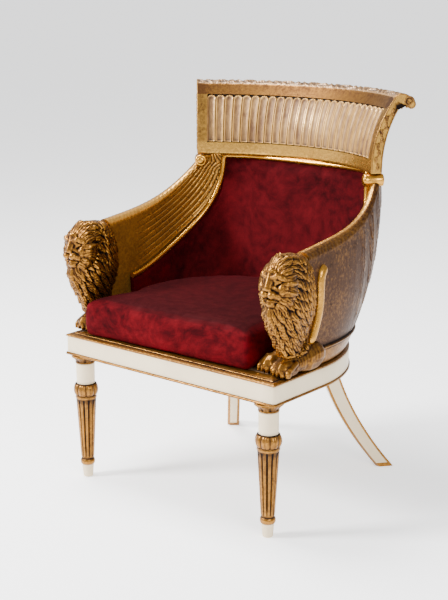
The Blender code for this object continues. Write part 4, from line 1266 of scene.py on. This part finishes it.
CRUSHED_VELVET = crushed_velvet_group()


def velvet(name, crush, top_shade=0.0):
    material, tree, shader = new_finish(name)
    given = {"Pile": VELVET_RED, "Deep": VELVET_DEEP, "Crush": crush, "Top shade": top_shade}
    join_finish(tree, shader, add_node(tree, "Group", given, node_tree=CRUSHED_VELVET), 0.0014)
    set_values(shader, {"Sheen Weight": 0.02, "Sheen Roughness": 0.35,
                        "Sheen Tint": (0.90, 0.05, 0.07, 1), "Specular IOR Level": 0.05})
    return material


def edge_stations(steps):
    """Stations round the velvet's edge, closer together where the edge is steep."""
    side = [VELVET_CORNER * (1 - (1 - step / steps) ** 2.2) for step in range(steps + 1)]
    middle = [VELVET_CORNER + (2 - 2 * VELVET_CORNER) * step / steps for step in range(1, steps)]
    return side + middle + [2 - station for station in side[::-1]]


def lining_inset(station):
    return wing_thickness(min(station, 2 - station)) + LINING_OFF


def lining_mesh():
    shift = 0.75 * BEAD_RADIUS / (0.315 * math.pi / 2)
    grid = []
    for station in edge_stations(60):
        near = lining_inset(station)
        top = float(velvet_edge(min(station, 2 - station) - shift)) - 2.0 * BEAD_RADIUS
        low = SHELL_BASE + 0.0005
        rows = [(near, low), (near, (low + top) / 2), (near, top)]
        for step in range(50):
            share = step / 49
            edge = min(1.0, 14 * share, 6 * (1 - share) + 0.3)
            puff = LINING_THICK * (0.35 + 0.65 * math.sin(math.pi / 2 * edge))
            rows.append((near + puff, top + (low - top) * share))
        grid.append(shell_column(station, rows))
    return skin("velvet_lining", np.array(grid))


lining = show("velvet_lining", lining_mesh())
dress(lining, "back_upholstery", [velvet("velvet of the back", 0.50)])

# Gilt bead round the velvet
# A thin burnished moulding pinned along the edge of the velvet: up the inside of each
# wing and across under the crest.
BEAD_SIDES = 12


def bead_mesh():
    stations = edge_stations(80)
    centres = []
    for station in stations:
        z = velvet_edge(station) - BEAD_RADIUS - FIT_GAP
        centres.append(shell_point(station, z, lining_inset(station) + BEAD_RADIUS))
    centres = np.array(centres)
    along = np.gradient(centres, axis=0)
    along /= np.linalg.norm(along, axis=1)[:, None]
    grid = np.empty((len(stations), BEAD_SIDES, 3))
    for column in range(len(stations)):
        middle = np.array([0.0, ARC_CENTRE, centres[column][2]]) - centres[column]
        inward = middle - along[column] * np.dot(middle, along[column])
        inward /= np.linalg.norm(inward)
        across = np.cross(along[column], inward)
        for side in range(BEAD_SIDES):
            turn = 2 * math.pi * side / BEAD_SIDES
            reach = inward * math.cos(turn) + across * math.sin(turn)
            grid[column, side] = centres[column] + BEAD_RADIUS * reach
    return skin("velvet_bead", grid)


dress(show("velvet_bead", bead_mesh()), "upholstery_bead", [BRIGHT_GILDING])

# Seat cushion
# A loose boxed cushion of the same velvet, filled with feathers and down. It has slid a
# little forward at its left corner and bulges between the lions.
CUSHION_LOW, CUSHION_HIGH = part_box("seat_cushion")
ROUND_STEPS = 22
CLOTH_FRAMES = 18


def cushion_outline(over_paw):
    """The cushion in plan. Its upper part swells over the lion's inner paw at the left."""
    lining = FIT_GAP + LINING_THICK + 0.004
    half = WING_HALF - (WING_THICK + lining)
    depth = SHELL_DEPTH - (BACK_THICK + lining) - ARC_BACK
    narrow, left = 0.222, -0.266
    paw_back, wing_back = LEG_LINE + 0.012, LEG_LINE + WING_FRONT + 0.030
    outline = [(left, LEG_LINE - 0.022), (narrow, LEG_LINE - 0.006), (narrow, wing_back)]
    for step in range(ROUND_STEPS + 1):
        angle = math.pi * step / ROUND_STEPS
        outline.append((half * math.cos(angle), ARC_CENTRE + depth * math.sin(angle)))
    if over_paw:
        outline += [(-0.247, LEG_LINE + 0.125), (-0.249, LEG_LINE + 0.095), (-0.260, LEG_LINE + 0.050)]
    else:
        outline += [(-narrow, wing_back), (-narrow, paw_back), (left, paw_back)]
    return outline


def cushion_ring(over_paw):
    """320 places round the outline: 240 as far as the half round's left end, then 80."""
    outline = np.array(cushion_outline(over_paw))
    closed = np.concatenate([outline, outline[:1]])
    run = np.concatenate([[0], np.cumsum(np.linalg.norm(np.diff(closed, axis=0), axis=1))])
    left_end = run[3 + ROUND_STEPS]
    places = [np.linspace(0, left_end, 241)[:-1], np.linspace(left_end, run[-1], 81)[:-1]]
    places = np.concatenate(places)
    ring = np.stack([np.interp(places, run, closed[:, k]) for k in (0, 1)], axis=1)
    for _ in range(5):
        ring = 0.5 * ring + 0.25 * (np.roll(ring, 1, axis=0) + np.roll(ring, -1, axis=0))
    return ring


def cushion_mesh():
    """The cushion's shell: evenly spaced rings that close to a crowned top."""
    low_ring, high_ring = cushion_ring(False), cushion_ring(True)
    middle = np.array([0.0, ARC_CENTRE - 0.03])
    thick = CUSHION_HIGH[2] - CUSHION_LOW[2]
    rows = [(0.90, 0.002), (0.965, 0.004), (0.985, 0.04), (0.995, 0.12), (1.0, 0.25), (1.0, 0.45)]
    rows += [(0.998, 0.62), (0.994, 0.76), (0.985, 0.85), (0.968, 0.905), (0.935, 0.94), (0.86, 0.965)]
    rows += [(0.73, 0.98), (0.57, 0.99), (0.38, 1.0), (0.20, 1.0), (0.06, 1.0)]
    grid = []
    for share, rise in rows:
        over = min(max((rise - 0.34) / 0.20, 0.0), 1.0)
        line = middle + (low_ring + (high_ring - low_ring) * over - middle) * share
        back = np.clip((line[:, 1:] - LEG_LINE) / 0.40, 0, 1)
        height = CUSHION_LOW[2] + thick * rise * (0.95 + 0.16 * back)
        grid.append(np.concatenate([line, height], axis=1))
    return skin("velvet_cushion", np.array(grid))


def plump(piece, cap):
    """Swells the cushion with Blender's cloth and keeps the swelling under a cap."""
    bpy.context.view_layer.objects.active = piece
    merge = piece.modifiers.new("Remesh", "REMESH")
    merge.mode = "VOXEL"
    merge.voxel_size = 0.006
    with bpy.context.temp_override(object=piece, active_object=piece):
        bpy.ops.object.modifier_apply(modifier=merge.name)
    start = mesh_vectors(piece.data, "co")
    cloth = piece.modifiers.new("Cloth", "CLOTH")
    settings = {"use_pressure": True, "uniform_pressure_force": 3.5, "tension_stiffness": 12,
                "compression_stiffness": 4, "bending_stiffness": 0.15, "quality": 6}
    for key, value in settings.items():
        setattr(cloth.settings, key, value)
    cloth.settings.effector_weights.gravity = 0.0
    cloth.point_cache.frame_start = 1
    cloth.point_cache.frame_end = CLOTH_FRAMES
    for number in range(1, CLOTH_FRAMES + 1):
        bpy.context.scene.frame_set(number)
    swollen = piece.evaluated_get(bpy.context.evaluated_depsgraph_get()).data
    shift = mesh_vectors(swollen, "co") - start
    piece.modifiers.remove(cloth)
    bpy.context.scene.frame_set(1)
    size = np.linalg.norm(shift, axis=1)[:, None]
    points = start + shift * np.minimum(1.0, cap / np.maximum(size, 1e-9))
    points[:, 2] = np.maximum(points[:, 2], CUSHION_LOW[2])
    move_points(piece.data, points)
    piece.data.shade_smooth()


cushion = show("velvet_cushion", cushion_mesh())
plump(cushion, 0.007)
# The cushion's velvet has its top painted darker as shade.
dress(cushion, "seat_cushion", [velvet("velvet of the cushion", 0.80, 0.98)])

# Studio
# A pale floor under soft light, with the camera where the photograph was taken from.
CAMERA_TURN = math.radians(39.4)
CAMERA_RISE = math.radians(14.4)
CAMERA_PLACE = Vector((1.8928, LEG_LINE - 2.1157, 1.2219))


def studio():
    bpy.ops.mesh.primitive_plane_add(size=160, location=(0, 0, 0))
    floor = bpy.context.object
    floor.name = "studio_floor"
    material, tree, shader = new_finish("pale floor")
    place = object_place(tree)
    tone = blend_colours(tree, cloud(tree, place, 1.2), (0.90, 0.90, 0.905, 1), (0.92, 0.92, 0.92, 1))
    tree.links.new(tone, shader["Base Color"])
    set_values(shader, {"Roughness": 0.85, "Emission Color": (0.97, 0.98, 1.0, 1), "Emission Strength": 1.10})
    floor.data.materials.append(material)
    world = bpy.data.worlds.new("soft room")
    bpy.context.scene.world = world
    world.use_nodes = True
    background = world.node_tree.nodes["Background"].inputs
    set_values(background, {"Color": (0.94, 0.93, 0.92, 1), "Strength": 0.80})
    lamps = (("key", (-2.2, -2.8, 2.6), 0.9, 400), ("fill", (2.8, -1.6, 1.9), 1.2, 65),
             ("top", (-0.9, -0.2, 3.0), 1.2, 165))
    for name, place, size, power in lamps:
        light = bpy.data.lights.new(name, "AREA")
        light.size = size
        light.energy = power
        lamp = bpy.data.objects.new(name, light)
        lamp.location = place
        aim = Vector((0, 0, 0.5)) - Vector(place)
        lamp.rotation_euler = aim.to_track_quat("-Z", "Y").to_euler()
        bpy.context.scene.collection.objects.link(lamp)


def camera():
    lens = bpy.data.cameras.new("camera")
    lens.lens = 78.0
    lens.sensor_width = 36.0
    turn, rise = CAMERA_TURN, CAMERA_RISE
    right = Vector((math.cos(turn), math.sin(turn), 0))
    back = Vector((math.sin(turn) * math.cos(rise), -math.cos(turn) * math.cos(rise), math.sin(rise)))
    up = back.cross(right)
    seen = bpy.data.objects.new("camera", lens)
    facing = Matrix((right, up, back)).transposed().to_4x4()
    seen.matrix_world = Matrix.Translation(CAMERA_PLACE) @ facing
    bpy.context.scene.collection.objects.link(seen)
    bpy.context.scene.camera = seen


studio()
camera()
